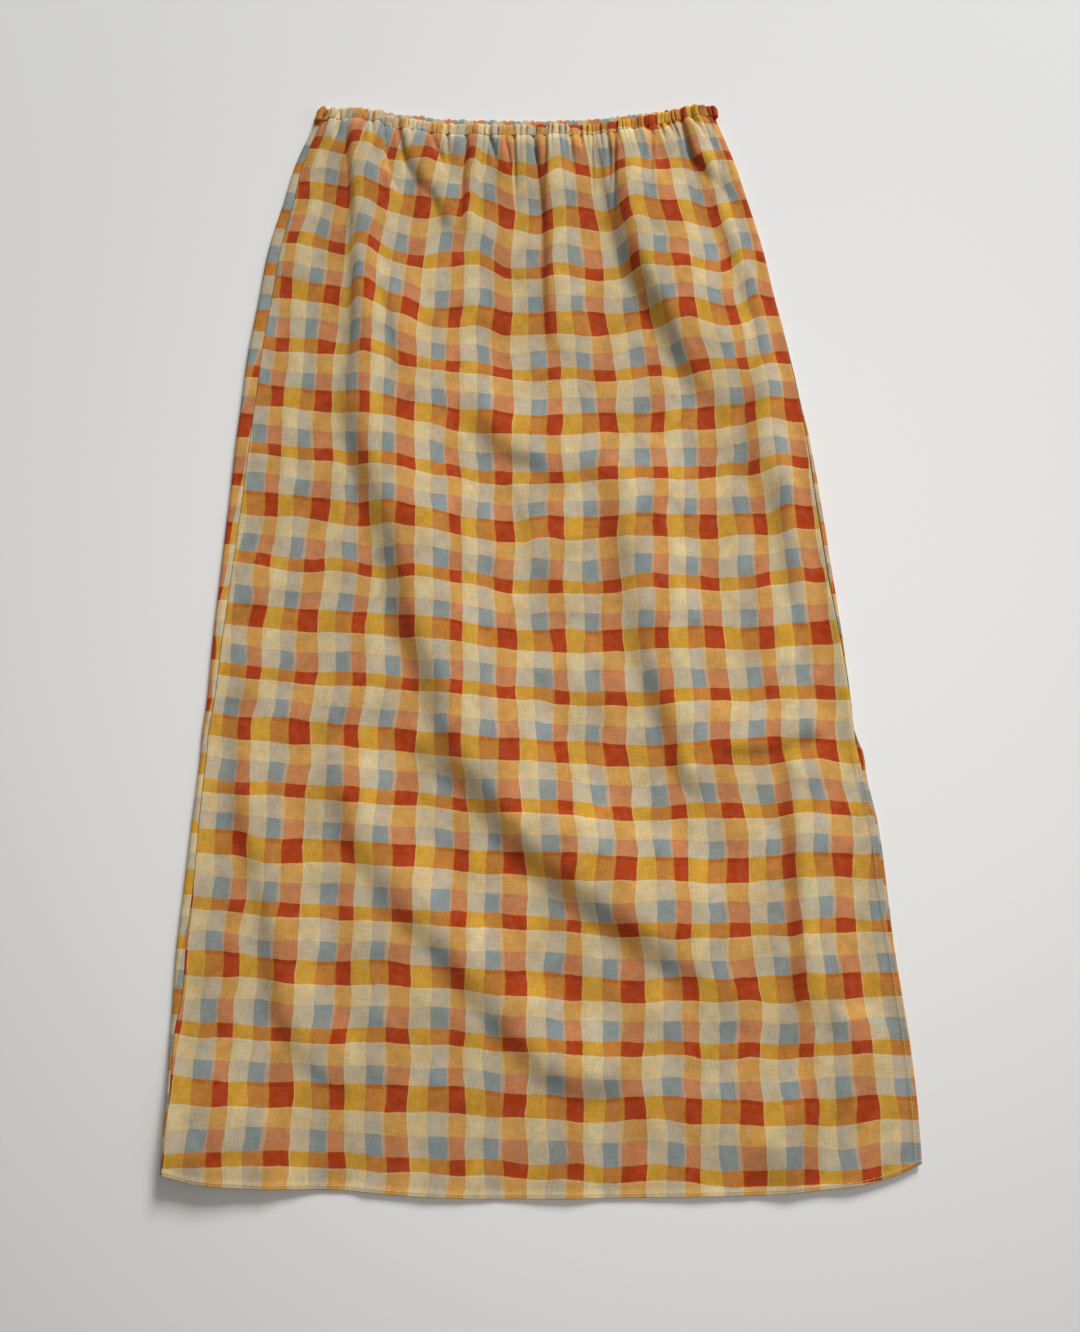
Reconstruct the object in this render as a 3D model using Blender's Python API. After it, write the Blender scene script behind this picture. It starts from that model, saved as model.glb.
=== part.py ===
"""Slit midi skirt of thin checked cloth with an elastic waist, laid flat with its front up.

Metres, X to the viewer's right, Y from hem to waist, Z up. The origin is under the middle of the
skirt, on the surface that it lies on. The cloth is a tube pressed flat: the back panel lies on the
surface and the front panel lies on the back, and both turn into each other at the side folds.
Below the slit, which is at the right side, each panel has an edge of its own.
"""

import bmesh
import bpy
import numpy as np

# Cloth
CLOTH = 0.0012
SEAM_GAP = 0.0003
SIDE_SEAM_GAP = 0.00042
TURNED_EDGE = 0.0006
HEM_DEPTH = 0.0038
SLIT_DEPTH = 0.0050
TURN_STEP = 0.0008
HEM_CLEARANCE = 0.009

# Skirt, as it lies
HEM_LEVEL = -0.4442
WAIST_LEVEL = 0.4261
CASING_HEIGHT = 0.0115
CASING_CLOTH = 0.0024
CASING_EASE = 0.0003
CASING_PINCH = 0.0006
SLIT_TOP = -0.0915
SLIT_RELEASE = 0.030
BACK_HEM_RISE = 0.0025

# Side folds
FOLD_RADIUS = 0.0026
SIDE_LOFT = 0.0024
SIDE_LOFT_WIDTH = 0.016
SLIT_LOFT = 0.0010
SLIT_LOFT_WIDTH = 0.026
WAIST_FLATNESS = 0.85
FOLD_CLEARANCE = 0.03

# Gathers, for each half of the waist
GATHERS = 54
GATHER_HEIGHT = 0.0011
GATHER_RUN = 0.030
GATHER_WIDTHS = (0.65, 1.35)
GATHER_HEIGHTS = (0.6, 1.25)
SCALLOP = 0.0007
TIE_LENGTH = 0.028

# Grid
BODY_ROW = 0.0290
HEM_ROWS = (0.0, HEM_DEPTH, HEM_DEPTH + TURN_STEP, 0.016, 0.034)
GATHER_ROWS = (0.026, 0.012, 0.0)
GATHER_BAND = 0.040
FRONT_EDGE_RUN = (0.0100, 0.0084, 0.0070, SLIT_DEPTH + TURN_STEP, SLIT_DEPTH, 0.0036, 0.0022, 0.0)
FRONT_EDGE_START = 0.0125
BACK_EDGE_RUN = (0.0, 0.0013, 0.0026, 0.0038, SLIT_DEPTH, SLIT_DEPTH + TURN_STEP, 0.0072, 0.0088, 0.0110)
BACK_FOLD_RUN = (0.0056, 0.0036, 0.0024, 0.0012, 0.0)
BACK_WRAP_SHARES = (0.14, 0.28, 0.42, 0.6, 0.8, 1.0)
TURN_POINTS = 12
FRONT_POINTS = 260
BACK_POINTS = 120
OVERLAP_POINTS = 40
BACK_COLUMNS = 24
BACK_WAIST_SPLIT = 8
CASING_ROWS = (0.0, 0.5, 1.0)
CASING_CROWN = (0.6, 1.0, 0.5)

# Outline and seams, one row for each level: where the left and right folds are, where the back's
# edge is on the right, how far the back shows beside the left fold, and how far along the cloth
# the right seam is from the fold, above zero when it shows on the front.
EDGE_COLUMNS = ("level", "left", "right", "back_right", "left_seam", "right_seam")
EDGES = (
    (-0.4439, -0.2910, 0.2908, 0.2885, 0.0024, 0.0000),
    (-0.4160, -0.2904, 0.2904, 0.2885, 0.0024, 0.0000),
    (-0.3720, -0.2883, 0.2888, 0.2875, 0.0032, 0.0000),
    (-0.3160, -0.2857, 0.2840, 0.2830, 0.0048, 0.0000),
    (-0.2590, -0.2832, 0.2762, 0.2768, 0.0058, 0.0000),
    (-0.2080, -0.2787, 0.2689, 0.2718, 0.0060, 0.0000),
    (-0.1600, -0.2748, 0.2635, 0.2660, 0.0052, 0.0000),
    (-0.1250, -0.2709, 0.2552, 0.2588, 0.0050, 0.0000),
    (-0.1050, -0.2691, 0.2514, 0.2562, 0.0051, 0.0000),
    (-0.0915, -0.2686, 0.2500, 0.2508, 0.0052, 0.0000),
    (-0.0640, -0.2655, 0.2479, 0.2479, 0.0062, 0.0010),
    (-0.0240, -0.2629, 0.2440, 0.2440, 0.0074, 0.0024),
    (0.0376, -0.2576, 0.2365, 0.2365, 0.0090, 0.0046),
    (0.0997, -0.2522, 0.2286, 0.2286, 0.0103, 0.0048),
    (0.1520, -0.2482, 0.2208, 0.2208, 0.0113, 0.0032),
    (0.1840, -0.2450, 0.2145, 0.2145, 0.0114, 0.0022),
    (0.2270, -0.2405, 0.2057, 0.2057, 0.0112, 0.0010),
    (0.2700, -0.2334, 0.1959, 0.1959, 0.0106, 0.0002),
    (0.3140, -0.2263, 0.1869, 0.1869, 0.0100, 0.0000),
    (0.3580, -0.2149, 0.1745, 0.1745, 0.0084, 0.0000),
    (0.3850, -0.2080, 0.1666, 0.1666, 0.0070, 0.0000),
    (0.4110, -0.1977, 0.1570, 0.1570, 0.0062, 0.0000),
    (0.4290, -0.1897, 0.1506, 0.1506, 0.0060, 0.0000),
    (0.4440, -0.1868, 0.1494, 0.1494, 0.0060, 0.0000),
)

# How far the hem and the waist rise above their lowest levels, across the skirt from left to right
RISE_COLUMNS = ("across", "hem", "waist", "back_waist")
RISES = (
    (0.00, 0.0145, 0.0150, 0.0150),
    (0.04, 0.0100, 0.0172, 0.0170),
    (0.10, 0.0078, 0.0170, 0.0156),
    (0.15, 0.0070, 0.0146, 0.0134),
    (0.17, 0.0067, 0.0092, 0.0124),
    (0.24, 0.0058, 0.0056, 0.0082),
    (0.31, 0.0028, 0.0014, 0.0046),
    (0.40, 0.0003, 0.0004, 0.0028),
    (0.50, 0.0003, 0.0000, 0.0026),
    (0.60, 0.0009, 0.0002, 0.0028),
    (0.70, 0.0018, 0.0010, 0.0036),
    (0.80, 0.0036, 0.0062, 0.0072),
    (0.87, 0.0072, 0.0100, 0.0108),
    (0.93, 0.0118, 0.0148, 0.0142),
    (0.97, 0.0172, 0.0166, 0.0160),
    (1.00, 0.0250, 0.0150, 0.0150),
)
HEM_RISE_REACH = 0.16
WAIST_RISE_REACH = 0.13

# Folds of the front, one row for each: height, width of the steep flank at the start and the end of
# its path, width of the gentle side, which side of the path is the gentle one, the share of the
# height at the start, the shares of the path over which the fold rises and falls away, and the path
# itself, along the middle of the steep flank
FOLD_COLUMNS = ("name", "height", "steep", "steep_end", "gentle", "side", "start", "rise", "fall", "path")
FOLDS = (
    ("long_left", 0.0119, 0.030, 0.037, 0.084, 1, 0.00, 0.41, 0.14,
     ((-0.160, 0.437), (-0.157, 0.358), (-0.154, 0.270), (-0.153, 0.167), (-0.138, 0.107),
      (-0.119, 0.049), (-0.109, -0.000), (-0.088, -0.049), (-0.074, -0.094), (-0.046, -0.140),
      (-0.019, -0.177), (0.021, -0.212), (0.064, -0.243), (0.113, -0.279), (0.159, -0.324))),
    ("upper_left", 0.0032, 0.008, 0.012, 0.024, 1, 0.90, 0.20, 0.35,
     ((-0.159, 0.437), (-0.156, 0.358), (-0.154, 0.270), (-0.153, 0.190))),
    ("waist_right", 0.0125, 0.034, 0.020, 0.082, 1, 0.25, 0.29, 0.50,
     ((0.057, 0.428), (0.062, 0.367), (0.073, 0.310), (0.091, 0.271), (0.114, 0.223), (0.134, 0.183),
      (0.156, 0.142))),
    ("low_left", 0.0066, 0.029, 0.029, 0.040, 1, 0.00, 0.14, 0.12,
     ((-0.172, -0.091), (-0.161, -0.142), (-0.120, -0.215), (-0.074, -0.265), (-0.032, -0.316),
      (0.010, -0.356), (0.077, -0.370))),
    ("middle", 0.0066, 0.034, 0.018, 0.063, 1, 0.00, 0.21, 0.14,
     ((0.053, 0.158), (0.057, 0.116), (0.062, 0.075), (0.072, 0.017), (0.087, -0.047), (0.100, -0.086),
      (0.116, -0.129), (0.143, -0.154))),
    ("left_edge", 0.0045, 0.020, 0.022, 0.041, 1, 0.00, 0.21, 0.31,
     ((-0.242, -0.075), (-0.238, -0.151), (-0.220, -0.214), (-0.211, -0.260), (-0.200, -0.313),
      (-0.168, -0.354), (-0.118, -0.383))),
    ("right_edge", 0.0077, 0.017, 0.036, 0.039, 1, 0.18, 0.18, 0.48,
     ((0.140, 0.358), (0.159, 0.320), (0.171, 0.278), (0.183, 0.239), (0.176, 0.184), (0.176, 0.133),
      (0.191, 0.095), (0.202, 0.042), (0.210, 0.001))),
    ("slit_drag", 0.0042, 0.013, 0.015, 0.043, 1, 0.00, 0.36, 0.20,
     ((0.128, -0.100), (0.152, -0.105), (0.178, -0.104), (0.204, -0.097), (0.235, -0.086))),
    ("waist_left_short", 0.0035, 0.012, 0.013, 0.021, 1, 0.70, 0.20, 0.17,
     ((-0.119, 0.431), (-0.116, 0.406), (-0.102, 0.379), (-0.087, 0.359), (-0.073, 0.322))),
    ("waist_middle_left", 0.0030, 0.007, 0.007, 0.010, 1, 0.80, 0.20, 0.30,
     ((-0.058, 0.428), (-0.060, 0.394), (-0.062, 0.362), (-0.064, 0.322))),
    ("waist_middle", 0.0046, 0.008, 0.008, 0.041, 1, 0.80, 0.20, 0.27,
     ((-0.002, 0.429), (0.004, 0.367), (0.006, 0.309), (0.006, 0.261), (0.011, 0.210))),
    ("waist_right_short", 0.0052, 0.008, 0.018, 0.027, 1, 0.90, 0.20, 0.31,
     ((0.123, 0.433), (0.127, 0.398), (0.146, 0.377), (0.166, 0.361), (0.178, 0.349))),
    ("hip_dimple", 0.0062, 0.035, 0.019, 0.045, 1, 0.00, 0.29, 0.37,
     ((-0.073, 0.201), (-0.063, 0.188), (-0.047, 0.157), (-0.020, 0.135), (0.001, 0.126),
      (0.007, 0.100))),
    ("hip_left", 0.0024, 0.009, 0.009, 0.022, 1, 0.00, 0.19, 0.31,
     ((-0.129, 0.282), (-0.120, 0.237), (-0.117, 0.192))),
    ("low_right", 0.0054, 0.017, 0.020, 0.057, 1, 0.00, 0.13, 0.26,
     ((0.232, -0.293), (0.223, -0.327), (0.202, -0.359), (0.173, -0.391), (0.142, -0.420))),
    ("low_right_upright", 0.0062, 0.022, 0.015, 0.052, 1, 0.00, 0.13, 0.20,
     ((0.195, -0.092), (0.196, -0.159), (0.199, -0.221), (0.200, -0.274), (0.201, -0.320))),
    ("branch", 0.0056, 0.018, 0.032, 0.063, 1, 0.00, 0.40, 0.28,
     ((-0.111, -0.081), (-0.094, -0.104), (-0.074, -0.122), (-0.048, -0.123))),
    ("hip_low", 0.0018, 0.012, 0.012, 0.046, 1, 0.00, 0.20, 0.45,
     ((-0.028, 0.125), (-0.016, 0.092), (-0.008, 0.063), (-0.007, 0.017))),
    ("right_patch", 0.0029, 0.016, 0.016, 0.019, 1, 0.00, 0.20, 0.30,
     ((0.189, 0.150), (0.192, 0.091), (0.201, 0.033), (0.209, -0.015))),
    ("waist_tuck", 0.0026, 0.004, 0.004, 0.050, -1, 1.00, 0.20, 0.30,
     ((-0.131, 0.457), (-0.131, 0.425), (-0.131, 0.398), (-0.125, 0.375), (-0.113, 0.350))),
)
FOLD_PATH_POINTS = 60

# Hem corners that stand off the surface: place, height and reach
LIFT_COLUMNS = ("x", "y", "height", "reach")
LIFTS = (
    (-0.291, -0.432, 0.0072, 0.115),
    (0.292, -0.420, 0.0062, 0.105),
)
CORNER_PARTING = 0.32

# Colours of the cloth where each node shows it most
FRONT_COLOUR = (0.62, 0.42, 0.20, 1.0)
BACK_COLOUR = (0.55, 0.36, 0.17, 1.0)
FRONT_CASING_COLOUR = (0.66, 0.47, 0.24, 1.0)
BACK_CASING_COLOUR = (0.50, 0.45, 0.32, 1.0)
CLOTH_ROUGHNESS = 0.9


def clear_scene():
    """Remove whatever the scene holds."""
    for item in list(bpy.data.objects):
        bpy.data.objects.remove(item, do_unlink=True)


def smooth_step(value):
    """Ease from 0 to 1 as the value goes from 0 to 1."""
    value = np.clip(value, 0.0, 1.0)
    return value * value * (3.0 - 2.0 * value)


def smooth_curve(knots, heights, at):
    """Read, at the given places, a smooth curve that runs through every knot."""
    slopes = np.gradient(heights, knots)
    at = np.asarray(at, dtype=float)
    cell = np.clip(np.searchsorted(knots, at) - 1, 0, len(knots) - 2)
    span = knots[cell + 1] - knots[cell]
    share = np.clip((at - knots[cell]) / span, 0.0, 1.0)
    rest = 1.0 - share
    low = heights[cell] * rest ** 2 * (1.0 + 2.0 * share)
    high = heights[cell + 1] * share ** 2 * (3.0 - 2.0 * share)
    return low + high + span * share * rest * (slopes[cell] * rest - slopes[cell + 1] * share)


def read_table(table, columns, name, at):
    """Read one named column of a table as a smooth curve over its first column."""
    values = np.array(table, dtype=float)
    return smooth_curve(values[:, 0], values[:, columns.index(name)], at)


def edge(name, level):
    """Read a column of the outline at a level."""
    return read_table(EDGES, EDGE_COLUMNS, name, level)


def height_on_skirt(level, across, waist="waist"):
    """Y of a level at a place across the skirt, where hem and waist bend it."""
    near_hem = smooth_step(1.0 - (level - HEM_LEVEL) / HEM_RISE_REACH)
    near_waist = smooth_step(1.0 - (WAIST_LEVEL - level) / WAIST_RISE_REACH)
    hem_rise = read_table(RISES, RISE_COLUMNS, "hem", across)
    waist_rise = read_table(RISES, RISE_COLUMNS, waist, across)
    return level + near_hem * hem_rise + near_waist * waist_rise


def closed_at(y):
    """1 where the right side is a fold, 0 where the slit has parted the panels."""
    return smooth_step((y - SLIT_TOP + SLIT_RELEASE) / SLIT_RELEASE)


def fold_height(fold, x, y):
    """Height that one fold adds at the places x, y."""
    row = dict(zip(FOLD_COLUMNS, fold))
    path = np.array(row["path"])
    steps = np.hypot(*np.diff(path, axis=0).T)
    knots = np.concatenate(([0.0], np.cumsum(steps))) / steps.sum()
    along = np.linspace(0.0, 1.0, FOLD_PATH_POINTS)
    path_x = smooth_curve(knots, path[:, 0], along)
    path_y = smooth_curve(knots, path[:, 1], along)
    step_x = np.gradient(path_x)
    step_y = np.gradient(path_y)
    size = np.hypot(step_x, step_y)
    away_x = x[:, None] - path_x
    away_y = y[:, None] - path_y
    nearest = np.argmin(away_x ** 2 + away_y ** 2, axis=1)
    pick = np.arange(len(x))
    away_x = away_x[pick, nearest]
    away_y = away_y[pick, nearest]
    heading_x = (step_x / size)[nearest]
    heading_y = (step_y / size)[nearest]
    distance = (heading_x * away_y - heading_y * away_x) * row["side"]
    place = along[nearest] + (heading_x * away_x + heading_y * away_y) / steps.sum()
    width = row["steep"] + (row["steep_end"] - row["steep"]) * np.clip(place, 0.0, 1.0)
    steep = smooth_step(distance / width + 0.5)
    gentle = 1.0 - smooth_step((distance - 0.5 * width) / row["gentle"])
    begin = row["start"] + (1.0 - row["start"]) * smooth_step(place / row["rise"])
    end = smooth_step((1.0 - place) / row["fall"])
    return row["height"] * steep * gentle * begin * end


def corner_lift(x, y):
    """Height that a hem corner stands off the surface."""
    total = np.zeros_like(x)
    for lift in LIFTS:
        row = dict(zip(LIFT_COLUMNS, lift))
        away = np.hypot(x - row["x"], y - row["y"]) / row["reach"]
        total += row["height"] * (1.0 - smooth_step(away)) ** 1.5
    return total


def front_height(x, y, left, right, level):
    """Height of the front's middle surface above the surface that the skirt lies on."""
    turned = 1.0 - smooth_step((level - HEM_LEVEL - HEM_CLEARANCE) / HEM_CLEARANCE)
    resting = 1.5 * CLOTH + SEAM_GAP + TURNED_EDGE * turned
    tied = 1.5 * (CASING_CLOTH - CLOTH)
    waist = smooth_step(1.0 - (WAIST_LEVEL - CASING_HEIGHT - level) / TIE_LENGTH)
    closed = closed_at(y)
    loft = SIDE_LOFT * (1.0 - WAIST_FLATNESS * waist)
    left_loft = loft * (1.0 - smooth_step((x - left) / SIDE_LOFT_WIDTH))
    right_loft = loft * closed * (1.0 - smooth_step((right - x) / SIDE_LOFT_WIDTH))
    slit_loft = SLIT_LOFT * (1.0 - closed) * (1.0 - smooth_step((right - x) / SLIT_LOFT_WIDTH))
    folds = sum(fold_height(fold, x, y) for fold in FOLDS)
    room = smooth_step((x - left) / FOLD_CLEARANCE) * smooth_step((right - x) / FOLD_CLEARANCE)
    parted = CORNER_PARTING * corner_lift(x, y)
    return resting + tied * waist + left_loft + right_loft + slit_loft + parted + folds * room


def skirt_path(level, back_shift=0.0, back_middle=0.5 * CLOTH):
    """Middle surface of the cloth round the skirt at one level.

    It starts at the outermost point of the left fold, crosses the front, turns at the right, comes
    back under the front and goes on over the left fold again. Returned are the points, the length
    along the path, and that length at the right end, at the start of the back and at the left fold.
    """
    ends = height_on_skirt(level, np.array([0.0, 1.0]))
    left = float(edge("left", ends[0]))
    right = float(edge("right", ends[1]))
    back_right = float(edge("back_right", ends[1]))
    closed = float(closed_at(ends[1]))
    turn = np.linspace(0.0, 0.5 * np.pi, TURN_POINTS)
    left_middle = left + 0.5 * CLOTH + FOLD_RADIUS
    right_middle = right - (0.5 * CLOTH + FOLD_RADIUS)
    back_middle_x = back_right - (0.5 * CLOTH + FOLD_RADIUS)
    run = np.linspace(left_middle, right_middle, FRONT_POINTS)
    back_run = np.linspace(back_middle_x, left_middle, BACK_POINTS)[1:-1]

    def y_at(x, waist="waist"):
        return height_on_skirt(level, np.clip((x - left) / (right - left), 0.0, 1.0), waist)

    top = front_height(run, y_at(run), left, right, level)
    left_half = 0.5 * (top[0] - back_middle)
    right_half = 0.5 * (top[-1] - back_middle) * closed
    left_x = left_middle - FOLD_RADIUS * np.cos(turn)
    right_reach = FOLD_RADIUS + 0.5 * CLOTH * (1.0 - closed)
    over_x = right_middle + right_reach * np.sin(turn)
    under_x = back_middle_x + right_reach * np.cos(turn)
    open_shift = back_shift * (1.0 - closed)
    pieces = (
        (left_x, y_at(left_x), back_middle + left_half * (1.0 + np.sin(turn))),
        (run[1:-1], y_at(run[1:-1]), top[1:-1]),
        (over_x, y_at(over_x), top[-1] - right_half * (1.0 - np.cos(turn))),
        (under_x, y_at(under_x) + open_shift, back_middle + right_half * (1.0 - np.sin(turn))),
        (back_run, y_at(back_run, "back_waist") + back_shift, np.full(len(back_run), back_middle)),
        (left_x[::-1], y_at(left_x[::-1]), back_middle + left_half * (1.0 - np.sin(turn[::-1]))),
        (left_x[1:], y_at(left_x[1:]), back_middle + left_half * (1.0 + np.sin(turn[1:]))),
        (run[1:OVERLAP_POINTS], y_at(run[1:OVERLAP_POINTS]), top[1:OVERLAP_POINTS]),
    )
    counts = np.cumsum([len(piece[0]) for piece in pieces])
    x, y, z = (np.concatenate([piece[axis] for piece in pieces]) for axis in range(3))
    z = z + corner_lift(x, y)
    points = np.stack((x, y, z), axis=1)
    length = np.concatenate(([0.0], np.cumsum(np.hypot(np.diff(x), np.diff(z)))))
    marks = {
        "left": left,
        "closed": closed,
        "turn_point": counts[2],
        "right_end": length[counts[2] - 1],
        "back_start": length[counts[2]],
        "left_fold": length[counts[5] - 1],
        "left_seam": float(np.interp(left + edge("left_seam", ends[0]), x[:counts[1]], length[:counts[1]])),
        "right_seam": float(edge("right_seam", ends[1])),
    }
    return points, length, marks


def read_path(points, length, turn_point, at):
    """Points and directions of a path at the given lengths along it.

    The front and the back have their own directions at the right, where the slit parts them.
    """
    halves = [slice(None, turn_point), slice(turn_point, None)]
    direction = np.concatenate([np.gradient(points[half], length[half], axis=0) for half in halves])
    place = np.stack([np.interp(at, length, points[:, axis]) for axis in range(3)], axis=1)
    heading = np.stack([np.interp(at, length, direction[:, axis]) for axis in range(3)], axis=1)
    return place, heading


def outward_normals(rows, headings):
    """Normals of a grid of points, on the outside of the skirt."""
    rows = np.array(rows)
    along = np.array(headings)
    up = np.gradient(rows, axis=0)
    normals = np.cross(along, up)
    return normals / np.linalg.norm(normals, axis=2, keepdims=True)


def uneven_shares(count, seed):
    """Edges of the gathers as shares of the width, unevenly spaced."""
    widths = np.random.default_rng(seed).uniform(*GATHER_WIDTHS, count)
    return np.concatenate(([0.0], np.cumsum(widths))) / widths.sum()


def gather_columns(shares):
    """Three columns for each gather, from each valley over its two shoulders."""
    thirds = [shares[:-1] + np.diff(shares) * part / 3.0 for part in range(3)]
    return np.append(np.stack(thirds, axis=1).ravel(), shares[-1])


def gather_waves(count, seed):
    """Height of each gather column, 0 in the valleys."""
    sizes = np.random.default_rng(seed + 1).uniform(*GATHER_HEIGHTS, count)
    shape = np.sin(np.pi * np.arange(3) / 3.0)
    return np.append((sizes[:, None] * shape).ravel(), 0.0)


def wall(name, outer, inner, keys, colour):
    """Closed wall of cloth between two sets of rows.

    Every vertex of a row has a key, and rows that differ in number of columns share the coarser
    row's keys, so that one face fills each coarse column between them.
    """
    mesh = bmesh.new()
    skins = []
    for side in (outer, inner):
        skins.append([[mesh.verts.new(point) for point in row] for row in side])
    for skin, turned in zip(skins, (False, True)):
        for low, high, low_keys, high_keys in zip(skin, skin[1:], keys, keys[1:]):
            coarse = low_keys if len(low_keys) <= len(high_keys) else high_keys
            for begin, end in zip(coarse, coarse[1:]):
                lower = [v for v, key in zip(low, low_keys) if begin <= key <= end]
                upper = [v for v, key in zip(high, high_keys) if begin <= key <= end]
                ring = lower + upper[::-1]
                mesh.faces.new(ring[::-1] if turned else ring)
    outside, inside = skins
    for row_out, row_in, turned in ((outside[0], inside[0], True), (outside[-1], inside[-1], False)):
        for index in range(len(row_out) - 1):
            ring = [row_out[index], row_out[index + 1], row_in[index + 1], row_in[index]]
            mesh.faces.new(ring[::-1] if turned else ring)
    for column, turned in ((0, False), (-1, True)):
        for row in range(len(outside) - 1):
            ring = [outside[row][column], outside[row + 1][column]]
            ring += [inside[row + 1][column], inside[row][column]]
            mesh.faces.new(ring[::-1] if turned else ring)
    bmesh.ops.triangulate(mesh, faces=[face for face in mesh.faces if len(face.verts) > 4])
    bmesh.ops.recalc_face_normals(mesh, faces=mesh.faces)
    data = bpy.data.meshes.new(name)
    mesh.to_mesh(data)
    mesh.free()
    item = bpy.data.objects.new(name, data)
    bpy.context.collection.objects.link(item)
    data.materials.append(cloth_material(name + "_cloth", colour))
    data.shade_smooth()
    return item


def cloth_material(name, colour):
    """Matt cloth of one colour."""
    material = bpy.data.materials.new(name)
    material.use_nodes = True
    shader = material.node_tree.nodes["Principled BSDF"]
    shader.inputs["Base Color"].default_value = colour
    shader.inputs["Roughness"].default_value = CLOTH_ROUGHNESS
    shader.inputs["Metallic"].default_value = 0.0
    material.diffuse_color = colour
    return material


def body_levels():
    """Levels of the panels' rows, from the hem to just under the gathers."""
    hem = [HEM_LEVEL + rise for rise in HEM_ROWS]
    top = WAIST_LEVEL - CASING_HEIGHT - SEAM_GAP - GATHER_BAND
    count = int(round((top - hem[-1]) / BODY_ROW))
    return hem + list(np.linspace(hem[-1], top, count + 1)[1:])


def gathered_levels():
    """Levels of the finely gathered rows under the casing."""
    top = WAIST_LEVEL - CASING_HEIGHT - SEAM_GAP
    return [top - below for below in GATHER_ROWS]


def turned_extra(distance, depth):
    """Extra thickness of a turned edge at a distance from it."""
    return TURNED_EDGE * (1.0 - smooth_step((distance - depth) / TURN_STEP))


def front_columns(marks, shares):
    """Lengths along the path of the front's columns, and their distances from its right edge."""
    half_gap = 0.5 * SIDE_SEAM_GAP
    start = marks["left_seam"] + half_gap
    end = marks["right_end"] - marks["right_seam"] - half_gap * marks["closed"]
    main = start + (end - FRONT_EDGE_START - start) * shares
    edge_run = np.array(FRONT_EDGE_RUN)
    return np.concatenate((main, end - edge_run)), np.concatenate((np.full(len(main), 1.0), edge_run))


def front_panel():
    """Front panel: gathered at the waist, hem and slit edge turned."""
    shares = uneven_shares(GATHERS, seed=11)
    fine_shares = gather_columns(shares)
    waves = gather_waves(GATHERS, seed=11)
    edge_columns = len(FRONT_EDGE_RUN)
    coarse_keys = list(range(0, 3 * GATHERS + 1, 3)) + [3 * GATHERS + 1 + n for n in range(edge_columns)]
    fine_keys = list(range(3 * GATHERS + 1 + edge_columns))
    outer = []
    inner = []
    keys = []
    bands = ((body_levels(), shares, coarse_keys), (gathered_levels(), fine_shares, fine_keys))
    for levels, columns, row_keys in bands:
        places = []
        headings = []
        distances = []
        closed = []
        for level in levels:
            points, length, marks = skirt_path(level)
            at, distance = front_columns(marks, columns)
            place, heading = read_path(points, length, marks["turn_point"], at)
            places.append(place)
            headings.append(heading)
            distances.append(distance)
            closed.append(marks["closed"])
        normals = outward_normals(places, headings)
        for index, level in enumerate(levels):
            extra = (1.0 - closed[index]) * turned_extra(distances[index], SLIT_DEPTH)
            extra = np.maximum(extra, turned_extra(level - HEM_LEVEL, HEM_DEPTH))[:, None]
            place = places[index]
            if row_keys is fine_keys:
                below = WAIST_LEVEL - CASING_HEIGHT - level
                gather = GATHER_HEIGHT * np.append(waves, np.zeros(edge_columns))
                place = place + normals[index] * (gather * np.exp(-below / GATHER_RUN))[:, None]
            outer.append(place + normals[index] * (0.5 * CLOTH + extra))
            inner.append(place - normals[index] * 0.5 * CLOTH)
            keys.append(row_keys)
    return wall("front_panel", outer, inner, keys, FRONT_COLOUR)


def back_columns(marks):
    """Lengths along the path of the back's columns, and their distances from its right edge."""
    half_gap = 0.5 * SIDE_SEAM_GAP
    closed = marks["closed"]
    start = marks["back_start"] - marks["right_seam"] + half_gap * closed
    seam = marks["left_fold"] + marks["left_seam"] - half_gap
    edge_run = np.array(BACK_EDGE_RUN)
    fold = marks["left_fold"] - np.array(BACK_FOLD_RUN)
    shares = 0.5 - 0.5 * np.cos(np.linspace(0.0, np.pi, BACK_COLUMNS + 2)[1:-1])
    middle = start + edge_run[-1] + (fold[0] - start - edge_run[-1]) * shares
    wrap = marks["left_fold"] + (seam - marks["left_fold"]) * np.array(BACK_WRAP_SHARES)
    distances = np.concatenate((edge_run, np.full(len(middle) + len(fold) + len(wrap), 1.0)))
    return np.concatenate((start + edge_run, middle, fold, wrap)), distances


def back_panel():
    """Back panel: flat on the surface, up round the left fold to the seam."""
    levels = body_levels() + gathered_levels()
    outer = []
    inner = []
    keys = []
    for split, used in ((1, levels[:-1]), (BACK_WAIST_SPLIT, levels[-2:])):
        places = []
        headings = []
        extras = []
        for level in used:
            near_hem = 1.0 - smooth_step((level - HEM_LEVEL) / HEM_RISE_REACH)
            points, length, marks = skirt_path(level, back_shift=BACK_HEM_RISE * near_hem)
            at, distance = back_columns(marks)
            finer = np.linspace(0.0, len(at) - 1.0, (len(at) - 1) * split + 1)
            at = np.interp(finer, np.arange(len(at)), at)
            distance = np.interp(finer, np.arange(len(distance)), distance)
            place, heading = read_path(points, length, marks["turn_point"], at)
            places.append(place)
            headings.append(heading)
            extra = (1.0 - marks["closed"]) * turned_extra(distance, SLIT_DEPTH)
            extras.append(np.maximum(extra, turned_extra(level - HEM_LEVEL, HEM_DEPTH)))
        normals = outward_normals(places, headings)
        for place, normal, extra in list(zip(places, normals, extras))[0 if split == 1 else 1:]:
            outer.append(place + normal * 0.5 * CLOTH)
            inner.append(place - normal * (0.5 * CLOTH + extra)[:, None])
            key_step = BACK_WAIST_SPLIT // split
            keys.append(list(range(0, (len(place) - 1) * key_step + 1, key_step)))
    return wall("back_panel", outer, inner, keys, BACK_COLOUR)


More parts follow.
